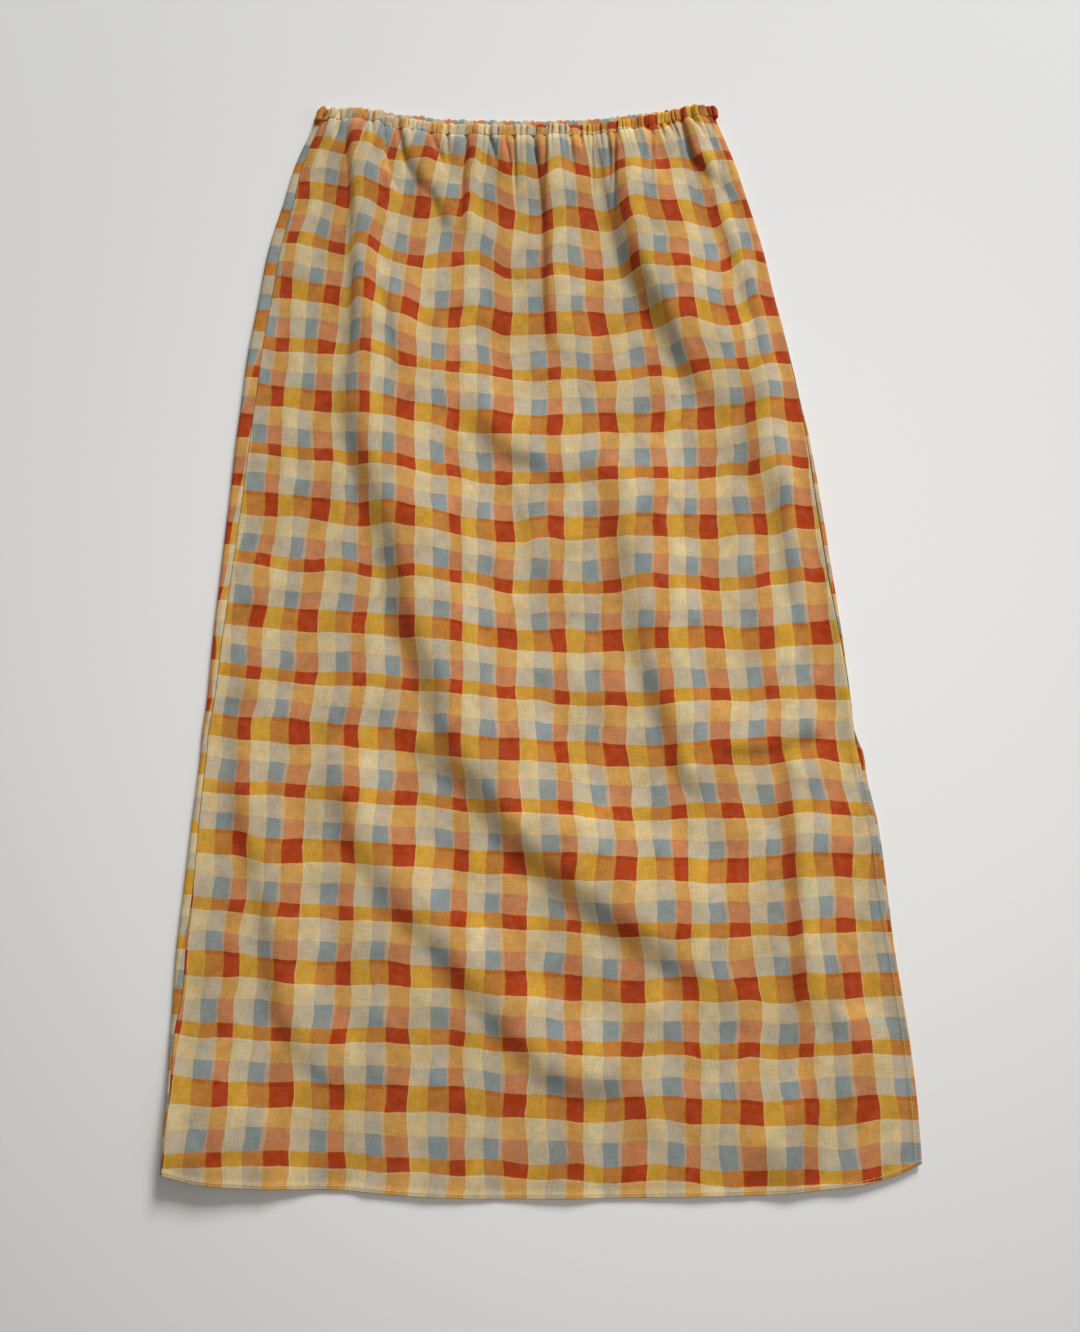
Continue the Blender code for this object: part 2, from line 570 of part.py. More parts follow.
def casing_half(name, columns_of, raised, seed, colour):
    """Half of the waist casing, drawn up by the elastic into narrow gathers."""
    columns = gather_columns(uneven_shares(GATHERS, seed))
    waves = gather_waves(GATHERS, seed)
    places = []
    headings = []
    for part in CASING_ROWS:
        level = WAIST_LEVEL - CASING_HEIGHT * (1.0 - part)
        points, length, marks = skirt_path(level, back_middle=0.5 * CASING_CLOTH)
        place, heading = read_path(points, length, marks["turn_point"], columns_of(marks, columns))
        place[:, 1] += SCALLOP * part * waves
        places.append(place)
        headings.append(heading)
    normals = outward_normals(places, headings)
    crown = np.array(CASING_CROWN)
    outer = []
    inner = []
    for place, normal, share in zip(places, normals, crown):
        half = 0.5 * CASING_CLOTH
        puffed = (half - CASING_EASE + GATHER_HEIGHT * waves * share)[:, None]
        pinched = (half - CASING_PINCH * (1.0 - np.minimum(waves, 1.0)))[:, None]
        outer.append(place + normal * (puffed if raised == "outside" else half))
        inner.append(place - normal * (half if raised == "outside" else pinched))
        outer[-1][:, 2] = np.maximum(outer[-1][:, 2], 0.0)
    keys = [list(range(len(columns)))] * len(CASING_ROWS)
    return wall(name, outer, inner, keys, colour)


def front_casing_columns(marks, shares):
    """Lengths along the path of the front casing's columns."""
    start = marks["left_seam"] + 0.5 * SIDE_SEAM_GAP
    end = marks["right_end"] - marks["right_seam"] - 0.5 * SIDE_SEAM_GAP
    return start + (end - start) * shares


def back_casing_columns(marks, shares):
    """Lengths along the path of the back casing's columns."""
    start = marks["back_start"] - marks["right_seam"] + 0.5 * SIDE_SEAM_GAP
    end = marks["left_fold"] + marks["left_seam"] - 0.5 * SIDE_SEAM_GAP
    return start + (end - start) * shares


def main():
    """Build every piece of the skirt."""
    clear_scene()
    front_panel()
    back_panel()
    casing_half("front_waist_casing", front_casing_columns, "outside", 11, FRONT_CASING_COLOUR)
    casing_half("back_waist_casing", back_casing_columns, "inside", 23, BACK_CASING_COLOUR)


main()
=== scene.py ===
"""Slit midi skirt of thin checked cloth with an elastic waist, laid flat, dressed for a studio picture.

The skirt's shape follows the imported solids: the same outline, side folds, seams and drape, with finer
gathers, turned edges, stitches and the printed check. Metres, X to the viewer's right, Y from hem to
waist, Z up, as in the frame.
"""

import math

import bpy
import numpy as np
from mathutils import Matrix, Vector


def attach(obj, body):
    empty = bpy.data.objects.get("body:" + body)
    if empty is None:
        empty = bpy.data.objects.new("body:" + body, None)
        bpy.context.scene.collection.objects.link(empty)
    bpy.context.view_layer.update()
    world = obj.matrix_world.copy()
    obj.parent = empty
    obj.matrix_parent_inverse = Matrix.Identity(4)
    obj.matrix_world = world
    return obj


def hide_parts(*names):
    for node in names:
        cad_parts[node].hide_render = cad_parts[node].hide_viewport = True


bl_info = {
    "name": "Slit midi skirt",
    "version": (1, 0, 0),
    "blender": (4, 5, 0),
    "location": "3D View > Sidebar > Skirt",
    "description": "Builds the checked cloth, stitches and studio of a skirt that lies flat",
    "category": "Object",
}

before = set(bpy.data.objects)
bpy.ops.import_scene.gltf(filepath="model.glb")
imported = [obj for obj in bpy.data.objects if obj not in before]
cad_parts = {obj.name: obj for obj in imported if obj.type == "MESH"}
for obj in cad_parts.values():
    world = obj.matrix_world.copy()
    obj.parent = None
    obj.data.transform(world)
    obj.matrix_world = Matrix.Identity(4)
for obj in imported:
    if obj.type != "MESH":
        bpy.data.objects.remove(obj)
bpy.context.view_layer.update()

# Skirt, as it lies
SOLID_CLOTH = 0.0012
SEAM_GAP = 0.0003
SOLID_CASING = 0.0024
HEM_LEVEL = -0.4442
WAIST_LEVEL = 0.4261
CASING_HEIGHT = 0.0115
SLIT_TOP = -0.0915
SLIT_RELEASE = 0.030
BACK_HEM_RISE = 0.0025
FOLD_RADIUS = 0.0026
SIDE_LOFT = 0.0024
SIDE_LOFT_WIDTH = 0.016
SLIT_LOFT = 0.0010
SLIT_LOFT_WIDTH = 0.026
TIE_LENGTH = 0.028
HEM_RISE_REACH = 0.16
WAIST_RISE_REACH = 0.13
WAIST_FLATNESS = 0.85
CASING_LEVEL = WAIST_LEVEL - CASING_HEIGHT

# How much of a lifted corner's height parts the front from the back
CORNER_PARTING = 0.32

# Folds keep clear of the sides and fade towards the casing, and a flank is steeper than its full width
FOLD_CLEARANCE = 0.03
FOLD_FADE = 0.65
FOLD_FADE_RUN = 0.012
FLANK_SHARE = 0.86

# Points along the stretches of a level's path, and along a fold's path
FRONT_POINTS = 520
BACK_POINTS = 160
TURN_POINTS = 12
OVERLAP_POINTS = 60
FOLD_PATH_POINTS = 121

# Outline and seams, one row for each level, measured in a photograph: where the left and right folds
# are, where the back's edge is on the right, how far the back shows beside the left fold, and how far
# along the cloth the right seam is from the fold
EDGE_COLUMNS = ("level", "left", "right", "back_right", "left_seam", "right_seam")
EDGES = (
    (-0.4439, -0.2860, 0.2914, 0.2891, 0.0014, 0.0000),
    (-0.4160, -0.2856, 0.2906, 0.2887, 0.0018, 0.0000),
    (-0.3720, -0.2839, 0.2887, 0.2874, 0.0030, 0.0000),
    (-0.3160, -0.2835, 0.2832, 0.2822, 0.0042, 0.0000),
    (-0.2960, -0.2828, 0.2804, 0.2800, 0.0072, 0.0000),
    (-0.2590, -0.2814, 0.2756, 0.2762, 0.0074, 0.0000),
    (-0.2080, -0.2769, 0.2688, 0.2717, 0.0072, 0.0000),
    (-0.1600, -0.2728, 0.2639, 0.2664, 0.0060, 0.0000),
    (-0.1250, -0.2693, 0.2555, 0.2591, 0.0050, 0.0000),
    (-0.1050, -0.2676, 0.2517, 0.2565, 0.0051, 0.0000),
    (-0.0915, -0.2671, 0.2502, 0.2510, 0.0052, 0.0000),
    (-0.0640, -0.2641, 0.2481, 0.2481, 0.0062, 0.0010),
    (-0.0240, -0.2616, 0.2441, 0.2441, 0.0074, 0.0024),
    (0.0376, -0.2566, 0.2364, 0.2364, 0.0090, 0.0046),
    (0.0997, -0.2512, 0.2284, 0.2284, 0.0103, 0.0048),
    (0.1520, -0.2471, 0.2205, 0.2205, 0.0113, 0.0032),
    (0.1840, -0.2438, 0.2141, 0.2141, 0.0114, 0.0022),
    (0.2270, -0.2393, 0.2052, 0.2052, 0.0112, 0.0010),
    (0.2700, -0.2321, 0.1953, 0.1953, 0.0106, 0.0002),
    (0.3140, -0.2249, 0.1862, 0.1862, 0.0100, 0.0000),
    (0.3580, -0.2127, 0.1737, 0.1737, 0.0084, 0.0000),
    (0.3850, -0.2056, 0.1657, 0.1657, 0.0070, 0.0000),
    (0.4110, -0.1951, 0.1560, 0.1560, 0.0062, 0.0000),
    (0.4290, -0.1870, 0.1490, 0.1490, 0.0060, 0.0000),
    (0.4440, -0.1840, 0.1464, 0.1464, 0.0060, 0.0000),
)

# How far the hem and the waist rise above their lowest levels, across the skirt from left to right
RISE_COLUMNS = ("across", "hem", "waist", "back_waist")
RISES = (
    (0.00, 0.0203, 0.0108, 0.0108),
    (0.04, 0.0136, 0.0129, 0.0129),
    (0.10, 0.0096, 0.0126, 0.0116),
    (0.15, 0.0080, 0.0104, 0.0108),
    (0.17, 0.0076, 0.0102, 0.0090),
    (0.24, 0.0062, 0.0076, 0.0064),
    (0.31, 0.0028, 0.0038, 0.0032),
    (0.40, 0.0003, 0.0028, 0.0019),
    (0.50, 0.0002, 0.0024, 0.0015),
    (0.60, 0.0008, 0.0026, 0.0016),
    (0.70, 0.0017, 0.0032, 0.0032),
    (0.80, 0.0034, 0.0086, 0.0070),
    (0.87, 0.0070, 0.0124, 0.0098),
    (0.93, 0.0116, 0.0180, 0.0134),
    (0.97, 0.0186, 0.0202, 0.0154),
    (1.00, 0.0262, 0.0186, 0.0142),
)
# The casing drops by a step where the cloth is tucked over itself: height, place across and run
WAIST_STEP = 0.0046
WAIST_STEP_PLACE = 0.161
WAIST_STEP_RUN = 0.010

# A program fitted these numbers to a photograph, and some were changed afterwards.
FOLD_COLUMNS = (
    "name", "height", "steep", "steep_end", "gentle", "side",
    "start", "rise", "fall", "draw", "take", "path",
)
FOLDS = (
    ("long_left", 0.0109, 0.030, 0.037, 0.084, 1, 0.00, 0.41, 0.14, 0.0013, 0.0054,
     ((-0.160, 0.437), (-0.157, 0.358), (-0.154, 0.270), (-0.153, 0.167), (-0.138, 0.107),
      (-0.119, 0.049), (-0.109, 0.000), (-0.088, -0.049), (-0.074, -0.094), (-0.046, -0.140),
      (-0.019, -0.177), (0.021, -0.212), (0.064, -0.243), (0.113, -0.279), (0.159, -0.324))),
    ("upper_left", 0.0032, 0.008, 0.012, 0.024, 1, 0.90, 0.20, 0.35, 0.0094, 0.0040,
     ((-0.159, 0.437), (-0.156, 0.358), (-0.154, 0.270), (-0.153, 0.190))),
    ("waist_right", 0.0125, 0.034, 0.020, 0.082, 1, 0.25, 0.29, 0.50, 0.0070, 0.0071,
     ((0.057, 0.428), (0.062, 0.367), (0.073, 0.310), (0.091, 0.271), (0.114, 0.223), (0.134, 0.183),
      (0.156, 0.142))),
    ("low_left", 0.0066, 0.029, 0.029, 0.040, 1, 0.00, 0.14, 0.12, 0.0001, 0.0007,
     ((-0.172, -0.091), (-0.161, -0.142), (-0.120, -0.215), (-0.074, -0.265), (-0.032, -0.316),
      (0.010, -0.356), (0.077, -0.370))),
    ("middle", 0.0066, 0.034, 0.018, 0.063, 1, 0.00, 0.21, 0.14, 0.0007, 0.0019,
     ((0.053, 0.158), (0.057, 0.116), (0.062, 0.075), (0.072, 0.017), (0.087, -0.047), (0.100, -0.086),
      (0.116, -0.129), (0.143, -0.154))),
    ("left_edge", 0.0045, 0.020, 0.022, 0.041, 1, 0.00, 0.21, 0.31, -0.0010, 0.0000,
     ((-0.242, -0.075), (-0.238, -0.151), (-0.220, -0.214), (-0.211, -0.260), (-0.200, -0.313),
      (-0.168, -0.354), (-0.118, -0.383))),
    ("right_edge", 0.0077, 0.017, 0.036, 0.039, 1, 0.18, 0.18, 0.48, 0.0058, 0.0033,
     ((0.140, 0.358), (0.159, 0.320), (0.171, 0.278), (0.183, 0.239), (0.176, 0.184), (0.176, 0.133),
      (0.191, 0.095), (0.202, 0.042), (0.210, 0.001))),
    ("slit_drag", 0.0042, 0.013, 0.015, 0.043, 1, 0.00, 0.36, 0.20, 0.0025, 0.0000,
     ((0.128, -0.100), (0.152, -0.105), (0.178, -0.104), (0.204, -0.097), (0.235, -0.086))),
    ("waist_left_short", 0.0035, 0.012, 0.013, 0.021, 1, 0.70, 0.20, 0.17, -0.0004, 0.0000,
     ((-0.119, 0.431), (-0.116, 0.406), (-0.102, 0.379), (-0.087, 0.359), (-0.073, 0.322))),
    ("waist_middle_left", 0.0030, 0.007, 0.007, 0.010, 1, 0.80, 0.20, 0.30, 0.0053, 0.0016,
     ((-0.058, 0.428), (-0.060, 0.394), (-0.062, 0.362), (-0.064, 0.322))),
    ("waist_middle", 0.0046, 0.008, 0.008, 0.041, 1, 0.80, 0.20, 0.27, -0.0001, 0.0000,
     ((-0.002, 0.429), (0.004, 0.367), (0.006, 0.309), (0.006, 0.261), (0.011, 0.210))),
    ("waist_right_short", 0.0052, 0.008, 0.018, 0.027, 1, 0.90, 0.20, 0.31, 0.0035, 0.0063,
     ((0.123, 0.433), (0.127, 0.398), (0.146, 0.377), (0.166, 0.361), (0.178, 0.349))),
    ("hip_dimple", 0.0062, 0.035, 0.019, 0.045, 1, 0.00, 0.29, 0.37, 0.0011, 0.0000,
     ((-0.073, 0.201), (-0.063, 0.188), (-0.047, 0.157), (-0.020, 0.135), (0.001, 0.126),
      (0.007, 0.100))),
    ("hip_left", 0.0024, 0.009, 0.009, 0.022, 1, 0.00, 0.19, 0.31, -0.0046, 0.0000,
     ((-0.129, 0.282), (-0.120, 0.237), (-0.117, 0.192))),
    ("low_right", 0.0054, 0.017, 0.020, 0.057, 1, 0.00, 0.13, 0.26, 0.0016, 0.0000,
     ((0.232, -0.293), (0.223, -0.327), (0.202, -0.359), (0.173, -0.391), (0.142, -0.420))),
    ("low_right_upright", 0.0062, 0.022, 0.015, 0.052, 1, 0.00, 0.13, 0.20, 0.0031, 0.0000,
     ((0.195, -0.092), (0.196, -0.159), (0.199, -0.221), (0.200, -0.274), (0.201, -0.320))),
    ("branch", 0.0056, 0.018, 0.032, 0.063, 1, 0.00, 0.40, 0.28, 0.0000, 0.0000,
     ((-0.111, -0.081), (-0.094, -0.104), (-0.074, -0.122), (-0.048, -0.123))),
    ("hip_low", 0.0018, 0.012, 0.012, 0.046, 1, 0.00, 0.20, 0.45, 0.0026, 0.0000,
     ((-0.028, 0.125), (-0.016, 0.092), (-0.008, 0.063), (-0.007, 0.017))),
    ("right_patch", 0.0029, 0.016, 0.016, 0.019, 1, 0.00, 0.20, 0.30, 0.0016, -0.0003,
     ((0.189, 0.150), (0.192, 0.091), (0.201, 0.033), (0.209, -0.015))),
    ("waist_tuck", 0.0026, 0.004, 0.004, 0.050, -1, 1.00, 0.20, 0.30, 0.0053, 0.0023,
     ((-0.131, 0.457), (-0.131, 0.425), (-0.131, 0.398), (-0.125, 0.375), (-0.113, 0.350))),
)

# Creases that run down from the casing between the gathers: place, depth, distance under the casing
# where one begins, length, width and sideways lean for each metre down
CREASE_COLUMNS = ("x", "depth", "start", "length", "width", "lean")
CREASES = (
    (-0.179, 0.0026, 0.000, 0.036, 0.0024, -0.30),
    (-0.168, 0.0049, 0.000, 0.024, 0.0022, -0.15),
    (-0.145, 0.0023, 0.000, 0.022, 0.0018, -0.18),
    (-0.140, 0.0036, 0.000, 0.019, 0.0016, 0.00),
    (-0.118, 0.0047, 0.000, 0.039, 0.0027, 0.24),
    (-0.107, 0.0021, 0.000, 0.012, 0.0014, 0.00),
    (-0.091, 0.0026, 0.000, 0.042, 0.0019, 0.40),
    (-0.077, 0.0029, 0.000, 0.033, 0.0019, 0.02),
    (-0.061, 0.0029, 0.002, 0.036, 0.0030, 0.00),
    (-0.042, 0.0039, 0.000, 0.033, 0.0021, 0.28),
    (-0.029, 0.0026, 0.004, 0.039, 0.0019, 0.20),
    (-0.021, 0.0034, 0.000, 0.072, 0.0016, 0.02),
    (-0.005, 0.0044, 0.000, 0.036, 0.0021, 0.14),
    (0.005, 0.0036, 0.000, 0.063, 0.0018, 0.00),
    (0.026, 0.0034, 0.000, 0.045, 0.0021, 0.06),
    (0.035, 0.0026, 0.000, 0.015, 0.0016, 0.00),
    (0.044, 0.0021, 0.000, 0.075, 0.0014, 0.02),
    (0.057, 0.0026, 0.000, 0.021, 0.0018, 0.05),
    (0.059, 0.0042, 0.014, 0.045, 0.0026, 0.02),
    (0.064, 0.0036, 0.000, 0.093, 0.0019, -0.02),
    (0.080, 0.0018, 0.000, 0.012, 0.0014, 0.00),
    (0.091, 0.0023, 0.000, 0.018, 0.0018, 0.30),
    (0.095, 0.0031, 0.006, 0.057, 0.0021, -0.05),
    (0.102, 0.0031, 0.000, 0.018, 0.0016, 0.20),
    (0.108, 0.0023, 0.000, 0.021, 0.0018, 0.50),
    (0.113, 0.0026, 0.000, 0.027, 0.0018, 0.20),
    (0.119, 0.0047, 0.002, 0.057, 0.0027, 0.26),
    (0.128, 0.0036, 0.000, 0.027, 0.0021, 0.55),
    (0.141, 0.0031, 0.000, 0.024, 0.0019, 0.38),
    (0.147, 0.0029, 0.004, 0.039, 0.0021, 0.30),
)

# How far the gathers pull the rows of the check down, across the skirt, measured in a photograph:
# at the first three of the levels below. At the fourth the pull is gone.
PULL_COLUMNS = ("x", "high", "middle", "low")
PULLS = (
    (-0.190, 0.004, 0.000, 0.000),
    (-0.174, 0.004, 0.003, 0.001),
    (-0.163, 0.007, 0.005, 0.002),
    (-0.150, 0.009, 0.005, 0.003),
    (-0.134, 0.006, 0.003, -0.002),
    (-0.117, 0.005, 0.005, -0.002),
    (-0.093, 0.001, 0.005, 0.006),
    (-0.080, 0.004, 0.000, 0.004),
    (-0.066, 0.003, -0.002, 0.001),
    (-0.050, -0.003, -0.005, -0.002),
    (-0.039, -0.002, -0.002, 0.000),
    (-0.029, 0.002, 0.003, 0.004),
    (-0.016, 0.003, 0.005, 0.005),
    (0.001, 0.005, 0.005, 0.004),
    (0.018, -0.001, 0.000, 0.002),
    (0.031, 0.003, -0.001, 0.001),
    (0.051, 0.004, 0.003, 0.002),
    (0.068, 0.005, 0.004, 0.003),
    (0.081, 0.005, 0.002, 0.000),
    (0.095, 0.007, 0.006, 0.000),
    (0.108, 0.004, 0.006, 0.003),
    (0.122, 0.001, 0.004, 0.003),
    (0.135, 0.003, 0.005, 0.005),
    (0.148, -0.002, 0.005, 0.007),
    (0.162, -0.005, 0.000, 0.006),
    (0.177, -0.003, 0.000, 0.001),
    (0.190, 0.000, 0.002, 0.003),
)
PULL_LEVELS = (0.400, 0.325, 0.250, 0.180)

# Hem corners that stand off the surface: place, height and reach
LIFT_COLUMNS = ("x", "y", "height", "reach")
LIFTS = (
    (-0.262, -0.410, 0.0080, 0.125),
    (0.235, -0.436, 0.0020, 0.075),
)

# How the check lies on the front. Each row is a level, each number a place across the skirt: first
# the number of the stripe there, counted in check squares, then how far the row has slipped upwards.
# A program fitted both to a photograph.
LIE_ACROSS = (0.0, 0.16, 0.32, 0.48, 0.65, 0.82, 1.0)
LIE_LEVELS = (-0.45, -0.36, -0.25, -0.12, 0.0, 0.12, 0.22, 0.32, 0.42)
STRIPE_AT = (
    (-0.86, 1.15, 3.17, 5.19, 7.36, 9.55, 11.85),
    (-0.91, 1.13, 3.16, 5.17, 7.32, 9.48, 11.88),
    (-1.01, 1.06, 3.08, 5.07, 7.15, 9.29, 11.77),
    (-0.87, 1.13, 3.07, 5.02, 7.07, 9.15, 11.41),
    (-0.79, 1.10, 3.04, 5.07, 7.05, 9.11, 11.21),
    (-0.81, 1.08, 3.15, 5.07, 6.93, 8.92, 11.15),
    (-0.70, 1.17, 3.19, 5.01, 6.83, 8.72, 10.89),
    (-0.50, 1.26, 3.12, 4.90, 6.84, 8.62, 10.67),
    (-0.34, 1.38, 3.12, 4.87, 6.84, 8.64, 10.67),
)
SLIP_AT = (
    (0.010, 0.008, 0.004, 0.000, -0.003, -0.004, 0.000),
    (0.016, 0.012, 0.008, 0.003, 0.000, -0.002, 0.002),
    (0.021, 0.015, 0.011, 0.005, 0.000, 0.000, 0.004),
    (0.024, 0.018, 0.012, 0.004, 0.001, 0.003, 0.004),
    (0.026, 0.019, 0.012, 0.003, 0.003, 0.004, 0.010),
    (0.028, 0.020, 0.010, 0.000, 0.004, 0.006, 0.011),
    (0.029, 0.021, 0.009, 0.000, -0.001, 0.004, 0.010),
    (0.028, 0.022, 0.010, 0.002, -0.002, 0.002, 0.005),
    (0.024, 0.018, 0.009, 0.002, 0.000, -0.001, -0.001),
)
# The back's stripes at the left fold, counted from a narrow red one, and at the right edge
BACK_LEFT_COLUMNS = ("y", "stripe")
BACK_LEFT = (
    (-0.44, 0.54),
    (-0.30, 0.42),
    (-0.18, 0.22),
    (-0.08, 0.06),
    (-0.02, 0.01),
    (0.04, -0.06),
    (0.10, -0.13),
    (0.15, -0.19),
    (0.18, -0.26),
    (0.23, -0.36),
    (0.39, -0.43),
)
BACK_STRIPES = 12.0
BACK_RIGHT = -0.20

# How the back's rows lie: a small shift, a sink towards the hem that is less on the right, a step
# near the waist, and how far the gathers draw the rows up in the middle
BACK_SHIFT = 0.001
BACK_SINK = 0.0115
BACK_SINK_TOP = 0.25
BACK_SINK_REACH = 0.60
BACK_SINK_EASE = 0.6
BACK_STEP = 0.003
BACK_STEP_START = 0.15
BACK_STEP_REACH = 0.2
BACK_DRAW = 0.030
BACK_DRAW_SIDE = 0.25
BACK_DRAW_START = 0.30
BACK_DRAW_REACH = 0.12

# The check: the level of its first row, the height of a square and its width
FIRST_ROW = -0.4242
SQUARE = 0.0450
STRIPE_SQUARE = 0.0453

# Gathers of each half of the waist: how many, their uneven widths and heights, how far below the
# casing the fine and the wide ones run, and the soft swell of cloth that they push out
GATHERS = 54
GATHER_WIDTHS = (0.45, 1.75)
GATHER_HEIGHTS = (0.45, 1.25)
GATHER_FINE_RUN = 0.011
GATHER_WIDE_RUN = 0.050
GATHER_WIDE_START = 0.008
GATHER_WIDE_SHARE = 1.3
GATHER_WIDE_SHARPNESS = 1.3
GATHER_LOFT = 0.0024
GATHER_LOFT_START = 0.005
GATHER_LOFT_RUN = 0.060
GATHER_LOWEST = -0.0002
GATHER_SIDE_RUN = 0.006
FRONT_SEED = 11
BACK_SEED = 23

# Narrow puckers along the waist, and the finer wrinkles on them, in shares of the gather height
PUCKER_HEIGHT = 1.7
PUCKER_SHARPNESS = 0.30
WRINKLE_HEIGHT = 0.4
WRINKLE_SHARPNESS = 0.6

# Creases under the casing: the run over which one begins, how its width grows, and its section
CREASE_START_RUN = 0.004
CREASE_WIDTH_START = 0.7
CREASE_WIDTH_GAIN = 0.5
CREASE_SHARPNESS = 1.6

# Casing: how far the front's edge lies below the back's, how its puckers sway and scallop its edge,
# how tightly its lower edge is sewn, and how much of a crease runs up into it
CASING_SINK = 0.0018
CASING_SWAY = 0.0012
CASING_SWAY_PLACES = 40.0
CASING_SWAY_ROWS = 1.2
CASING_SCALLOPS = {"front": 0.5, "back": 1.2}
CASING_SHARPNESS = 0.5
CASING_PINCH = 0.05
CASING_PINCH_RUN = 0.05
CASING_CREASE_SHARE = 0.45
CASING_LEAST = 0.0001

# Casing wall: its outer half, its puckers and its inner half, each as its least share and what is
# added to it in the middle
CASING_OUTER = (0.20, 0.22)
CASING_PUFF = (0.45, 0.75)
CASING_INNER = (0.10, 0.80)

# Edges: how a turning ends, the rows of faces in the hem and past it, how the front ends under the
# casing, the columns beside each seam and slit edge, and the groove that a seam lies in
TURN_STEP = 0.0007
TURN_RUN = 0.0016
HEM_ROWS = (0.0, 0.0006, 0.0016, 0.0028)
PAST_HEM_ROWS = (0.0, TURN_STEP, 0.0022, 0.0045)
UNDER_CASING = 0.0010
UNDER_CASING_SHARE = 0.85
UNDER_CASING_TUCK = 0.0004
LEFT_SEAM_RUN = (0.0, 0.0005, 0.0011, 0.0019, 0.0030)
FRONT_SIDE_RUN = (0.0125, 0.0100, 0.0080, 0.0064)
FRONT_SLIT_RUN = (0.0036, 0.0022, 0.0010, 0.0)
BACK_SLIT_RUN = (0.0, 0.0013, 0.0026, 0.0038)
BACK_SIDE_RUN = (0.0080, 0.0110)
BACK_WRAP = 0.0070
BACK_WRAP_COLUMNS = 12
BACK_SEAM_RUN = (0.0022, 0.0013, 0.0006, 0.0)
GROOVE_LEAST = 0.55
GROOVE_REST = 0.45
GROOVE_RUN = 0.0014
GROOVE_WALL = 0.4

# Small waves of a narrow hem, and how far from the edge they run
RIPPLE_HEIGHT = 0.00016
RIPPLE_LENGTH = 0.0055
RIPPLE_START = 5.0
RIPPLE_RUN = 0.006
HEM_RIPPLE_LENGTH = 0.6
HEM_RIPPLE_SEED = 3
SLIT_RIPPLE_SEED = 4

# Soft crumple of worn cloth: width and length of its swells, the distance up in which they move
# across by one width, where its noise starts, its seed and its height
CRUMPLE_COLUMNS = ("width", "length", "slant", "start", "seed", "height")
CRUMPLES = (
    (0.016, 0.085, math.inf, 9.0, 5, 0.00048),
    (0.045, 0.110, 0.3, 20.0, 6, 0.00110),
    (0.027, 0.034, -0.4, 40.0, 8, 0.00064),
    (0.011, 0.026, math.inf, 30.0, 7, 0.00030),
)

# Stitches: how far a line of them stays from a seam, how far under the slit's top it ends, how high
# the waist's line is up the casing and over its cloth, the step to the lines beside it that its
# normals are read from, the points along a line, and the share of a thread's width it is raised by
STITCH_SIDE_INSET = 0.0015
STITCH_SLIT_TOP = 0.016
STITCH_WAIST_RISE = 0.0003
STITCH_WAIST_LIFT = 0.0004
STITCH_ROW_STEP = 0.0005
STITCH_POINTS = 400
SLIT_POINTS = 120
THREAD_LIFT = 0.1

# Tone of the cloth: its mean, how much warmer the darker places are, and the cool and warm tints
MEAN_TONE = 0.918
DARK_WARMTH = 0.9
COOL_TINT = (0.945, 1.0, 1.06, 1.0)
WARM_TINT = (1.06, 1.0, 0.93, 1.0)

# The floor lies just under the cloth, and the darker places of its tooth have this share of its tone
FLOOR_LEVEL = -0.0001
FLOOR_SHADE = 0.985

# Colours of the main and side lights, of the light overhead and of the room
WINDOW_COLOUR = (0.985, 1.0, 1.005)
POOL_COLOUR = (1.05, 1.0, 0.95)
ROOM_COLOUR = (1.05, 1.0, 0.945, 1.0)


def smooth_step(value):
    """Ease from 0 to 1 as the value goes from 0 to 1."""
    value = np.clip(value, 0.0, 1.0)
    return value * value * (3.0 - 2.0 * value)


def smooth_curve(knots, heights, at):
    """Read, at the given places, a smooth curve that runs through every knot."""
    slopes = np.gradient(heights, knots)
    at = np.asarray(at, dtype=float)
    cell = np.clip(np.searchsorted(knots, at) - 1, 0, len(knots) - 2)
    span = knots[cell + 1] - knots[cell]
    share = np.clip((at - knots[cell]) / span, 0.0, 1.0)
    rest = 1.0 - share
    low = heights[cell] * rest**2 * (1.0 + 2.0 * share)
    high = heights[cell + 1] * share**2 * (3.0 - 2.0 * share)
    return low + high + span * share * rest * (slopes[cell] * rest - slopes[cell + 1] * share)


def read_table(table, columns, name, at):
    """Read one named column of a table as a smooth curve over its first column."""
    values = np.array(table, dtype=float)
    return smooth_curve(values[:, 0], values[:, columns.index(name)], at)


def edge(name, level):
    """Read a column of the outline at a level."""
    return read_table(EDGES, EDGE_COLUMNS, name, level)


def read_grid(grid, y, across):
    """Read a grid of values over level and place across, smoothly in both directions."""
    values = np.array(grid)
    levels = np.array(LIE_LEVELS)
    places = np.array(LIE_ACROSS)
    total = np.zeros(np.broadcast(y, across).shape)
    columns = [smooth_curve(places, row, across) for row in np.eye(len(places))]
    for index, weight in enumerate(columns):
        total += weight * smooth_curve(levels, values[:, index], y)
    return total


def height_on_skirt(level, across, waist="waist"):
    """Y of a level at a place across the skirt, where hem and waist bend it."""
    near_hem = smooth_step(1.0 - (level - HEM_LEVEL) / HEM_RISE_REACH)
    near_waist = smooth_step(1.0 - (WAIST_LEVEL - level) / WAIST_RISE_REACH)
    hem_rise = read_table(RISES, RISE_COLUMNS, "hem", across)
    waist_rise = read_table(RISES, RISE_COLUMNS, waist, across)
    if waist == "waist":
        waist_rise = waist_rise - WAIST_STEP * smooth_step((across - WAIST_STEP_PLACE) / WAIST_STEP_RUN)
    return level + near_hem * hem_rise + near_waist * waist_rise


def closed_at(y):
    """1 where the right side is a fold, 0 where the slit has parted the panels."""
    return smooth_step((y - SLIT_TOP + SLIT_RELEASE) / SLIT_RELEASE)


